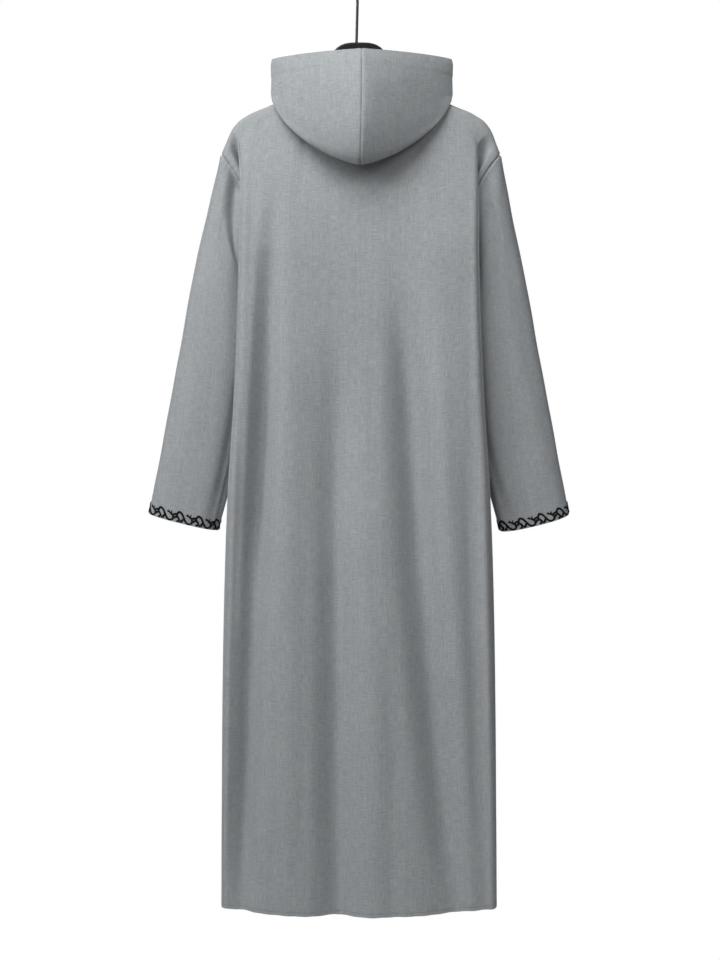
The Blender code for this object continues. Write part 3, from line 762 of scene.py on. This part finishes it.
def point_normals(points, faces):
    diagonal = np.cross(points[faces[:, 2]] - points[faces[:, 0]], points[faces[:, 3]] - points[faces[:, 1]])
    total = np.zeros_like(points)
    for corner in range(4):
        for axis in range(3):
            total[:, axis] += np.bincount(faces[:, corner], diagonal[:, axis], len(points))
    return total / np.maximum(np.linalg.norm(total, axis=1, keepdims=True), 1e-12)


def shell(name, parts, thickness):
    """A closed thin shell through welded grids, pushed out or in and thickened, with a rim at open edges."""
    points, faces, grains, values = welded(parts)
    points = points + point_normals(points, faces) * values[:, :1]
    normals = point_normals(points, faces)
    outer = points + normals * thickness / 2
    inner = points - normals * (thickness / 2 + values[:, 1:])
    ends = ([0, 1], [1, 2], [2, 3], [3, 0])
    edges, edge_grains = (np.concatenate([rows[:, pair] for pair in ends]) for rows in (faces, grains))
    used = set(map(tuple, edges.tolist()))
    open_edges = np.array([(b, a) not in used for a, b in edges.tolist()])
    rim, rim_grains = edges[open_edges], edge_grains[open_edges]
    count = len(points)
    rim_faces = np.concatenate([rim[:, ::-1], rim + count], axis=1)
    all_faces = np.concatenate([faces, faces[:, ::-1] + count, rim_faces])
    all_grains = np.concatenate([grains, grains[:, ::-1], rim_grains[:, [1, 0, 0, 1]]])
    return add_mesh(name, np.concatenate([outer, inner]), all_faces, all_grains, math.radians(50))


def add_mesh(name, points, faces, grains, sharp=None):
    """A mesh object of four-cornered faces with its grain map, in the scene's collection."""
    mesh = bpy.data.meshes.new(name)
    mesh.vertices.add(len(points))
    mesh.vertices.foreach_set("co", np.asarray(points, dtype=np.float32).ravel())
    mesh.loops.add(len(faces) * 4)
    mesh.loops.foreach_set("vertex_index", np.asarray(faces, dtype=np.int32).ravel())
    mesh.polygons.add(len(faces))
    mesh.polygons.foreach_set("loop_start", np.arange(0, len(faces) * 4, 4, dtype=np.int32))
    mesh.polygons.foreach_set("use_smooth", np.ones(len(faces), dtype=bool))
    layer = mesh.uv_layers.new(name="grain")
    layer.data.foreach_set("uv", np.asarray(grains, dtype=np.float32).ravel())
    mesh.update(calc_edges=True)
    mesh.validate()
    if sharp is not None:
        mesh.set_sharp_from_angle(angle=sharp)
    thing = bpy.data.objects.new(name, mesh)
    bpy.context.scene.collection.objects.link(thing)
    return thing


def ring_faces(index):
    """The faces between rings of points that each close on themselves, from the points' numbers."""
    turned = np.roll(index, -1, axis=1)
    return np.stack([index[:-1], index[1:], turned[1:], turned[:-1]], axis=-1).reshape(-1, 4)


def tubes(name, paths):
    """Flattened cords: each path is its points, the cloth's way out there, and half widths and heights."""
    points, faces, grains = [], [], []
    count = 0
    around = np.arange(CORD_SIDES) * 2 * math.pi / CORD_SIDES
    for line, out, width, height in paths:
        tangent = np.gradient(line, axis=0)
        tangent /= np.maximum(np.linalg.norm(tangent, axis=1, keepdims=True), 1e-12)
        across = np.cross(tangent, out)
        across /= np.maximum(np.linalg.norm(across, axis=1, keepdims=True), 1e-12)
        up = np.cross(across, tangent)
        ring = line[:, None] + across[:, None] * (width[:, None] * np.cos(around))[..., None]
        ring = ring + up[:, None] * (height[:, None] * np.sin(around))[..., None]
        index = count + np.arange(len(line) * CORD_SIDES).reshape(-1, CORD_SIDES)
        faces.append(ring_faces(index))
        length = line_lengths(line)
        low, high = length[:-1, None], length[1:, None]
        at = np.arange(CORD_SIDES)[None] / CORD_SIDES * CORD_GRAIN
        to = (np.arange(CORD_SIDES)[None] + 1) / CORD_SIDES * CORD_GRAIN
        corner = [(low, at), (high, at), (high, to), (low, to)]
        grain = [np.stack(np.broadcast_arrays(u, v), axis=-1) for u, v in corner]
        grains.append(np.stack(grain, axis=2).reshape(-1, 4, 2))
        points.append(ring.reshape(-1, 3))
        for order in (index[0], index[-1, ::-1]):
            faces.append(np.array([order[[0, 1, 2, 3]], order[[4, 5, 6, 7]], order[[0, 3, 4, 7]]]))
            grains.append(np.zeros((3, 4, 2)))
        count += len(line) * CORD_SIDES
    return add_mesh(name, np.concatenate(points), np.concatenate(faces), np.concatenate(grains))


def stitch_paths(line, out):
    """Short stitches along a line on the cloth, each a little sunk at its ends."""
    length = line_lengths(line)
    starts = np.arange(0.0, length[-1] - STITCH_LENGTH, STITCH_LENGTH + STITCH_GAP)
    rise, width = np.array(STITCH_RISES) * STITCH_RADIUS, np.array(STITCH_WIDTHS) * STITCH_RADIUS
    paths = []
    for start in starts:
        at = start + np.array(STITCH_PLACES) * STITCH_LENGTH
        way = read_line(out, length, at)
        paths.append((read_line(line, length, at) + way * rise[:, None], way, width, width))
    return paths


class Tree:
    """A node tree to add to. Each input of a node is given as a value or as the socket that feeds it."""

    def __init__(self, tree):
        self.nodes, self.links = tree.nodes, tree.links

    def feed(self, node, inputs):
        for name, value in inputs.items():
            if isinstance(value, bpy.types.NodeSocket):
                self.links.new(value, node.inputs[name])
            else:
                node.inputs[name].default_value = value

    def add(self, kind, inputs, **settings):
        """Adds a shader node and gives its outputs."""
        node = self.nodes.new("ShaderNode" + kind)
        for name, value in settings.items():
            setattr(node, name, value)
        self.feed(node, inputs)
        return node.outputs

    def math(self, kind, *values):
        return self.add("Math", dict(enumerate(values)), operation=kind)[0]

    def grain(self):
        """The lengths along the cloth's own threads."""
        return self.add("UVMap", {}, uv_map="grain")["UV"]

    def noise(self, grain, scale, detail, spread):
        """Noise drawn out along one thread direction, spread to about -1 to 1."""
        place = self.add("Mapping", {"Vector": grain, "Scale": scale})["Vector"]
        noise = self.add("TexNoise", {"Vector": place, "Scale": 1.0, "Detail": detail, "Roughness": 0.6})
        reach = {"From Min": 0.5 - spread, "From Max": 0.5 + spread, "To Min": -1.0, "To Max": 1.0}
        return self.add("MapRange", {"Value": noise["Fac"], **reach})["Result"]

    def between(self, factor, first, second):
        """A colour between two colours."""
        inputs = {"Factor": factor, "A": [*first, 1.0], "B": [*second, 1.0]}
        return self.add("Mix", inputs, data_type="RGBA")["Result"]

    def raised(self, height, strength, distance):
        """The way out of a surface that a height shapes."""
        return self.add("Bump", {"Height": height, "Strength": strength, "Distance": distance})["Normal"]


def slub_weave_group():
    """The plain weave with thick and thin yarns: tone, shade and height, from the cloth's grain map."""
    group = bpy.data.node_groups.new("slub_weave", "ShaderNodeTree")
    for name, way, kind in WEAVE_SOCKETS:
        group.interface.new_socket(name=name, in_out=way, socket_type="NodeSocket" + kind)
    tree, entry = Tree(group), group.nodes.new("NodeGroupInput").outputs
    grain = entry["Grain"]
    warp, weft, long_warp, mottle, patch = (tree.noise(grain, *row) for row in YARN_NOISES)
    warp = tree.math("MULTIPLY", warp, tree.math("MULTIPLY_ADD", patch, PATCH_STRENGTH, 1.0))
    weft = tree.math("MULTIPLY", weft, tree.math("MULTIPLY_ADD", patch, -PATCH_STRENGTH, 1.0))
    yarns = tree.math("MULTIPLY_ADD", long_warp, 0.5, tree.math("ADD", warp, weft))
    tone = tree.math("MULTIPLY_ADD", yarns, entry["Slub contrast"], 1.0)
    tone = tree.math("MULTIPLY_ADD", mottle, entry["Heather contrast"], tone)
    split, turns = tree.add("SeparateXYZ", {"Vector": grain}), 2 * math.pi / WEAVE_PITCH
    over, under = (tree.math("SINE", tree.math("MULTIPLY", split[axis], turns)) for axis in "XY")
    height = tree.math("MULTIPLY_ADD", yarns, 0.5, tree.math("MULTIPLY", over, under))
    tree.feed(group.nodes.new("NodeGroupOutput"), {"Tone": tone, "Shade": mottle, "Height": height})
    return group


def fresh_material(name):
    made = bpy.data.materials.new(name)
    made.use_nodes = True
    return made, Tree(made.node_tree), made.node_tree.nodes["Principled BSDF"]


def cloth_material(settings):
    """Heathered grey slub cloth."""
    made, tree, shader = fresh_material("slub_cloth")
    inputs = {"Grain": tree.grain(), "Slub contrast": settings.slub, "Heather contrast": settings.heather}
    weave = tree.add("Group", inputs, node_tree=slub_weave_group())
    cool, warm = (np.array(settings.colour) * tint for tint in (COOL_TINT, WARM_TINT))
    shade = tree.between(tree.math("MULTIPLY_ADD", weave["Shade"], 0.5, 0.5), cool, warm)
    toned = tree.add("VectorMath", {0: shade, "Scale": weave["Tone"]}, operation="SCALE")["Vector"]
    tree.feed(shader, {"Base Color": toned, "Normal": tree.raised(weave["Height"], *WEAVE_RELIEF)})
    tree.feed(shader, CLOTH_FINISH)
    return made


def thread_material(name, colour, twist):
    """Twisted sewing or embroidery thread, with painted shade in the grooves of its twist."""
    made, tree, shader = fresh_material(name)
    inputs = {"Vector": tree.grain(), "Scale": 1.0 / twist, "Distortion": 1.0}
    twists = tree.add("TexWave", inputs, wave_type="BANDS", bands_direction="DIAGONAL")["Fac"]
    # The colour darkens where the twist's bump is low: painted shade in the grooves
    tone = tree.between(twists, np.array(colour) * THREAD_GROOVE_PAINTED_SHADE, colour)
    tree.feed(shader, {"Base Color": tone, "Normal": tree.raised(twists, *THREAD_RELIEF)})
    tree.feed(shader, {"Roughness": 0.7, "Specular IOR Level": 0.2})
    return made


def moulded_material(name, colour, roughness, metallic, grain_scale, grain_depth):
    """Moulded plastic or plated wire with a fine uneven skin."""
    made, tree, shader = fresh_material(name)
    place = tree.add("TexCoord", {})["Object"]
    uneven = tree.add("TexNoise", {"Vector": place, "Scale": grain_scale, "Detail": 4.0})["Fac"]
    colour = np.array(colour)
    tone = tree.between(uneven, colour * (1 - SKIN_CONTRAST), colour * (1 + SKIN_CONTRAST))
    rough = tree.math("MULTIPLY_ADD", uneven, SKIN_CONTRAST, roughness - SKIN_CONTRAST / 2)
    tree.feed(shader, {"Base Color": tone, "Normal": tree.raised(uneven, 0.4, grain_depth)})
    tree.feed(shader, {"Roughness": rough, "Metallic": metallic, "Specular IOR Level": 0.25})
    return made


def shared_material(name, make, *values):
    return bpy.data.materials.get(name) or make(*values)


class RobeClothSettings(bpy.types.PropertyGroup):
    """Sizes and colours of the cloth."""

    thickness: FloatProperty(
        name="Thickness", description="Thickness of one layer of cloth", default=1.0 * MM, unit="LENGTH"
    )
    drape: FloatProperty(
        name="Soft creases", description="Strength of the soft creases over the long folds", default=1.0,
        subtype="FACTOR", min=0.0, max=2.0,
    )
    colour: FloatVectorProperty(
        name="Cloth colour", description="Mean colour of the cloth", default=(0.328, 0.3455, 0.3585),
        subtype="COLOR", min=0.0, max=1.0,
    )
    slub: FloatProperty(
        name="Slub contrast", description="How strongly thick yarns show", default=0.07, subtype="FACTOR",
        min=0.0, max=1.0,
    )
    heather: FloatProperty(
        name="Heather contrast", description="How strongly the grey varies from place to place", default=0.03,
        subtype="FACTOR", min=0.0, max=1.0,
    )


class RobeBorderSettings(bpy.types.PropertyGroup):
    """Sizes and colour of the embroidered cuff border."""

    repeats: IntProperty(name="Repeats", description="Repeats of the scroll round one cuff", default=9, min=1)
    cord: FloatProperty(
        name="Cord width", description="Width of an embroidered line", default=3.6 * MM, unit="LENGTH"
    )
    colour: FloatVectorProperty(
        name="Thread colour", description="Colour of the embroidery thread", default=(0.003, 0.003, 0.0035),
        subtype="COLOR", min=0.0, max=1.0,
    )


class RobeHangerSettings(bpy.types.PropertyGroup):
    """Finish of the hanger."""

    colour: FloatVectorProperty(
        name="Hanger colour", description="Colour of the hanger's plastic", default=(0.005, 0.005, 0.0055),
        subtype="COLOR", min=0.0, max=1.0,
    )
    roughness: FloatProperty(
        name="Hanger roughness", description="Roughness of the hanger's plastic", default=0.42,
        subtype="FACTOR", min=0.0, max=1.0,
    )


class RobeStageSettings(bpy.types.PropertyGroup):
    """Camera and light."""

    distance: FloatProperty(
        name="Camera distance", description="From the camera to the robe", default=3.1, unit="LENGTH"
    )
    height: FloatProperty(
        name="Picture height", description="Height of the picture at the robe", default=1.6992, unit="LENGTH"
    )
    key: FloatProperty(name="Key light", description="Power of the high light", default=24.5, unit="POWER")
    side: FloatProperty(name="Side light", description="Power of the left light", default=7.6, unit="POWER")
    fill: FloatProperty(name="Fill light", description="Power of the right light", default=5.4, unit="POWER")
    front: FloatProperty(name="Front light", description="Power before the robe", default=24.0, unit="POWER")
    sky: FloatProperty(
        name="Sky", description="Strength of the light from all round", default=0.07, subtype="FACTOR",
        min=0.0, max=2.0,
    )


def cloth_piece(node, parts, kind=None):
    """A cloth piece in place of its solid, with the cloth's material."""
    settings = bpy.context.scene.robe_cloth
    thing = shell(node, parts, settings.thickness)
    thing.data.materials.append(shared_material("slub_cloth", cloth_material, settings))
    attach(thing, "root")
    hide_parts(node)
    flat, area = FLAT[kind or node]


def panel_grid(side, face, drape):
    """Half of the back or front: its grid, the push of its seams, and whether its normals face out."""
    grid, underarm_row = half_panel(side, face, drape)
    return grid, panel_push(grid, underarm_row, face + side), side * face < 0


def sleeve_grid(side, drape):
    """The sleeve's grid, the push of its creases and seam, and whether its normals face out."""
    back_half, underarm_row = half_panel(side, BACK, drape)
    front_half, _ = half_panel(side, FRONT, drape)
    rings, shares, angle = sleeve_rings(side, back_half, front_half, underarm_row)
    return rings, sleeve_push(rings, shares, angle, side, drape), side == RIGHT


def hood_grid(side, drape):
    """Half the hood: its grid, the push of its hollows and seams, and whether its normals face out."""
    keys = hood_keys()
    grid, angle = hood_half(side, keys)
    return grid, hood_push(grid, keys, angle, side, drape), side == LEFT


class ROBE_OT_body(bpy.types.Operator):
    """Make the back with its long folds and the plain front with its neck slit"""

    bl_idname = "robe.body"
    bl_label = "Body"

    def execute(self, context):
        for face, node in ((BACK, "back_panel"), (FRONT, "front_panel")):
            parts = []
            for side in (LEFT, RIGHT):
                grid, push, outward = panel_grid(side, face, context.scene.robe_cloth.drape)
                across, along = run_along(grid, 1), run_along(grid, 0)
                grain = np.stack([side * across, along], axis=-1)
                push = push - HEM_SINK * np.maximum(0, 1 - np.abs(along - HEM_WIDTH) / HEM_SINK_WIDTH)
                parts.append((grid, outward, grain, push, HEM_EXTRA * (along <= HEM_WIDTH)))
            cloth_piece(node, parts)
        return {"FINISHED"}


class ROBE_OT_sleeves(bpy.types.Operator):
    """Make both sleeves, fitted to the armholes"""

    bl_idname = "robe.sleeves"
    bl_label = "Sleeves"

    def execute(self, context):
        for side, node in ((LEFT, "sleeve_left"), (RIGHT, "sleeve_right")):
            grid, push, outward = sleeve_grid(side, context.scene.robe_cloth.drape)
            along, around = run_along(grid, 0), run_along(grid, 1)
            from_cuff = along[-1:] - along
            grain = np.stack([around, from_cuff], axis=-1)
            parts = [(grid, outward, grain, push, HEM_EXTRA * (from_cuff < CUFF_TURN_UP))]
            cloth_piece(node, parts, "sleeve")
        return {"FINISHED"}


class ROBE_OT_hood(bpy.types.Operator):
    """Make the hood's two halves, laid down at the back, with the ridge of their centre seam"""

    bl_idname = "robe.hood"
    bl_label = "Hood"

    def execute(self, context):
        for side, node in ((LEFT, "hood_left"), (RIGHT, "hood_right")):
            grid, push, outward = hood_grid(side, context.scene.robe_cloth.drape)
            along, across = run_along(grid, 0), run_along(grid, 1)
            from_rim = along[-1:] - along
            grain = np.stack([side * across, from_rim], axis=-1)
            parts = [(grid, outward, grain, push, HEM_EXTRA * (from_rim < RIM_TURN_UP))]
            cloth_piece(node, parts, "hood")
        return {"FINISHED"}


def scroll_curve(points):
    """A smooth line through the charted points of one scroll line."""
    points = np.array(points) * MM
    places = np.arange(len(points), dtype=float)
    fine = np.linspace(0, len(points) - 1, (len(points) - 1) * 6 + 1)
    rows = {"place": places, "along": points[:, 0], "above": points[:, 1]}
    return follow(rows, "place", "along", fine), follow(rows, "place", "above", fine)


def scroll_strokes(cord):
    """One repeat's lines and leaves: places along and above the edge, half widths and rise to its width."""
    for points in SCROLL_LINES.values():
        along, above = scroll_curve(points)
        width = np.full(len(along), cord / 2)
        width[[0, -1]] *= CORD_TIP
        yield along, above, width, CORD_HEIGHT
    t, shape = np.linspace(0, 1, len(LEAF_SHAPE)), np.array(LEAF_SHAPE)
    for foot, height, tip, tip_height, half_width in zip(*SCROLL_LEAVES.values()):
        yield foot + (tip - foot) * t, height + (tip_height - height) * t, half_width * shape, LEAF_HEIGHT


def cuff_points(surface, normals, share, above):
    """Places on the cuff at shares round it and heights above its edge, and the way out there."""
    share = np.mod(share, 1.0)
    spots, ways = [], []
    for ring, out in zip(surface[::-1], normals[::-1]):
        length = line_lengths(ring)
        spots.append(read_line(ring, length, share * length[-1]))
        ways.append(read_line(out, length, share * length[-1]))
    spots, ways = np.array(spots), np.array(ways)
    heights = run_along(spots, 0)
    row = np.array([np.interp(above[i], heights[:, i], np.arange(len(heights))) for i in range(len(share))])
    way = blend_rows(ways, row)
    return blend_rows(spots, row), way / np.linalg.norm(way, axis=1, keepdims=True)


def add_thread(name, paths, thread):
    """Threads laid on a cloth piece, with the thread's material."""
    thing = tubes(name, paths)
    thing.data.materials.append(thread)
    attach(thing, "root")


class ROBE_OT_cuff_borders(bpy.types.Operator):
    """Work the running scroll round both cuffs in raised black thread"""

    bl_idname = "robe.cuff_borders"
    bl_label = "Cuff borders"

    def execute(self, context):
        cloth, border = context.scene.robe_cloth, context.scene.robe_border
        thread = thread_material("border_thread", border.colour, 1.2 * MM)
        for side, word in ((LEFT, "left"), (RIGHT, "right")):
            grid, push, outward = sleeve_grid(side, cloth.drape)
            surface, normals = lifted(grid, outward, push + cloth.thickness / 2)
            surface, normals = surface[-CUFF_ROWS:], normals[-CUFF_ROWS:]
            round_cuff = run_along(surface, 1)[-1, -1]
            stretch = round_cuff / (border.repeats * SCROLL_PITCH)
            paths = []
            for repeat in range(border.repeats):
                for along, above, width, rise in scroll_strokes(border.cord):
                    share = side * (along + repeat * SCROLL_PITCH) * stretch / round_cuff
                    line, out = cuff_points(surface, normals, share, above + SCROLL_EDGE_GAP)
                    paths.append((line + out * SCROLL_LIFT, out, width, width * rise))
            add_thread("cuff_border_" + word, paths, thread)
        return {"FINISHED"}


class ROBE_OT_stitching(bpy.types.Operator):
    """Sew the hem and the hood's rim with small even stitches"""

    bl_idname = "robe.stitching"
    bl_label = "Stitching"

    def execute(self, context):
        cloth = context.scene.robe_cloth
        thread = thread_material("sewing_thread", np.array(cloth.colour) * THREAD_SHADE, 0.6 * MM)
        for face, word in ((BACK, "back"), (FRONT, "front")):
            paths = []
            for side in (LEFT, RIGHT):
                grid, push, outward = panel_grid(side, face, cloth.drape)
                surface, normals = lifted(grid, outward, push + cloth.thickness / 2 - HEM_SINK)
                paths += stitch_paths(surface[STITCHED_ROW], normals[STITCHED_ROW])
            add_thread(word + "_hem_stitches", paths, thread)
        for side, name in ((LEFT, "hood_left"), (RIGHT, "hood_right")):
            grid, push, outward = hood_grid(side, cloth.drape)
            surface, normals = lifted(grid, outward, push + cloth.thickness / 2)
            along = run_along(surface, 0)
            from_rim = along[-1:] - along
            places = np.arange(len(surface))
            row = np.array([np.interp(-RIM_TURN_UP, -column, places) for column in from_rim.T])
            low = np.minimum(row.astype(int), len(surface) - 2)
            reach = from_rim[0] > 2 * RIM_TURN_UP
            line, out = blend_rows(surface, row)[reach], normals[low, np.arange(len(row))][reach]
            add_thread(name + "_rim_stitches", stitch_paths(line, out), thread)
        return {"FINISHED"}


class ROBE_OT_hanger(bpy.types.Operator):
    """Give the hanger's body and hook their finishes"""

    bl_idname = "robe.hanger"
    bl_label = "Hanger"

    def execute(self, context):
        settings = context.scene.robe_hanger
        skins = {
            "hanger_body": ("hanger_plastic", settings.colour, settings.roughness, 0.0, 260.0, 0.1 * MM),
            "hanger_hook": ("hook_metal", (0.03, 0.03, 0.032), 0.36, 0.85, 420.0, 0.05 * MM),
        }
        for node, (name, *skin) in skins.items():
            finish = moulded_material(name + "_finish", *skin)
            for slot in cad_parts[node].material_slots:
                slot.material = finish
        return {"FINISHED"}


def aimed(name, data, place, target):
    """An object at a place, looking at a target."""
    thing = bpy.data.objects.new(name, data)
    bpy.context.scene.collection.objects.link(thing)
    thing.location = place
    way = np.array(target) - np.array(place)
    flat = math.hypot(way[0], way[1])
    thing.rotation_euler = (math.atan2(flat, -way[2]), 0.0, math.atan2(-way[0], way[1]))
    return thing


def area_light(name, power, size, place):
    """A soft light on the robe."""
    data = bpy.data.lights.new(name, "AREA")
    data.size = size
    data.energy = power
    data.spread = math.radians(100)
    return aimed(name, data, place, LIT_POINT)


class ROBE_OT_stage(bpy.types.Operator):
    """Set up the pale floor, the soft studio light and the camera"""

    bl_idname = "robe.stage"
    bl_label = "Stage"

    def execute(self, context):
        settings = context.scene.robe_stage
        scene = context.scene
        scene.view_settings.view_transform = "Standard"
        camera = bpy.data.cameras.new("camera")
        camera.sensor_fit = "VERTICAL"
        camera.sensor_height = 24.0
        camera.lens = camera.sensor_height * settings.distance / settings.height
        scene.camera = aimed("camera", camera, (SEEN_POINT[0], settings.distance, SEEN_POINT[2]), SEEN_POINT)
        self.sky(scene, settings.sky)
        for name, (size, place) in LIGHTS.items():
            area_light(name + "_light", getattr(settings, name), size, place)
        self.floor()
        return {"FINISHED"}

    def sky(self, scene, strength):
        """Even light from all round, seen as white."""
        scene.world = bpy.data.worlds.new("studio")
        scene.world.use_nodes = True
        tree = Tree(scene.world.node_tree)
        dim, white = tree.nodes["Background"], (1.0, 1.0, 1.0, 1.0)
        tree.feed(dim, {"Color": white, "Strength": strength})
        seen, bright = tree.add("LightPath", {})["Is Camera Ray"], tree.add("Background", {"Color": white})[0]
        mixed = tree.add("MixShader", {"Fac": seen, 1: dim.outputs[0], 2: bright})[0]
        tree.feed(tree.nodes["World Output"], {"Surface": mixed})

    def floor(self):
        """A pale round floor below the robe, out of the main picture."""
        angle = np.arange(FLOOR_CORNERS) * 2 * math.pi / FLOOR_CORNERS
        rings = []
        for radius, height in FLOOR_RINGS:
            out, back = radius * np.cos(angle), FLOOR_MIDDLE + radius * np.sin(angle)
            rings.append(np.stack([out, back, np.full(FLOOR_CORNERS, height)], axis=-1))
        index = np.arange(len(rings) * FLOOR_CORNERS).reshape(len(rings), FLOOR_CORNERS)
        faces, points = ring_faces(index), np.array(rings).reshape(-1, 3)
        thing = add_mesh("floor", points, faces, points[faces][..., :2])
        made, tree, shader = fresh_material("pale_floor")
        noise = tree.add("TexNoise", {"Vector": tree.grain(), "Scale": 3.0})["Fac"]
        tone = tree.between(noise, (0.80, 0.80, 0.80), (0.84, 0.84, 0.84))
        tree.feed(shader, {"Base Color": tone, "Roughness": 0.9})
        thing.data.materials.append(made)


class ROBE_PT_build(bpy.types.Panel):
    """The robe's pieces and their settings."""

    bl_idname = "ROBE_PT_build"
    bl_label = "Robe"
    bl_space_type = "VIEW_3D"
    bl_region_type = "UI"
    bl_category = "Robe"

    def draw(self, context):
        for name, settings in SETTINGS.items():
            box = self.layout.box()
            group = getattr(context.scene, name)
            for key in settings.__annotations__:
                box.prop(group, key)
        for operator in OPERATORS:
            self.layout.operator(operator.bl_idname)


SETTINGS = {
    "robe_cloth": RobeClothSettings,
    "robe_border": RobeBorderSettings,
    "robe_hanger": RobeHangerSettings,
    "robe_stage": RobeStageSettings,
}
OPERATORS = (
    ROBE_OT_stage,
    ROBE_OT_body,
    ROBE_OT_sleeves,
    ROBE_OT_hood,
    ROBE_OT_cuff_borders,
    ROBE_OT_stitching,
    ROBE_OT_hanger,
)


def register():
    for name, settings in SETTINGS.items():
        bpy.utils.register_class(settings)
        setattr(bpy.types.Scene, name, PointerProperty(type=settings))
    for operator in OPERATORS:
        bpy.utils.register_class(operator)
    bpy.utils.register_class(ROBE_PT_build)


def unregister():
    bpy.utils.unregister_class(ROBE_PT_build)
    for operator in reversed(OPERATORS):
        bpy.utils.unregister_class(operator)
    for name, settings in reversed(list(SETTINGS.items())):
        delattr(bpy.types.Scene, name)
        bpy.utils.unregister_class(settings)


def main():
    register()
    for operator in OPERATORS:
        area, name = operator.bl_idname.split(".")
        getattr(getattr(bpy.ops, area), name)()


if __name__ == "__main__":
    main()
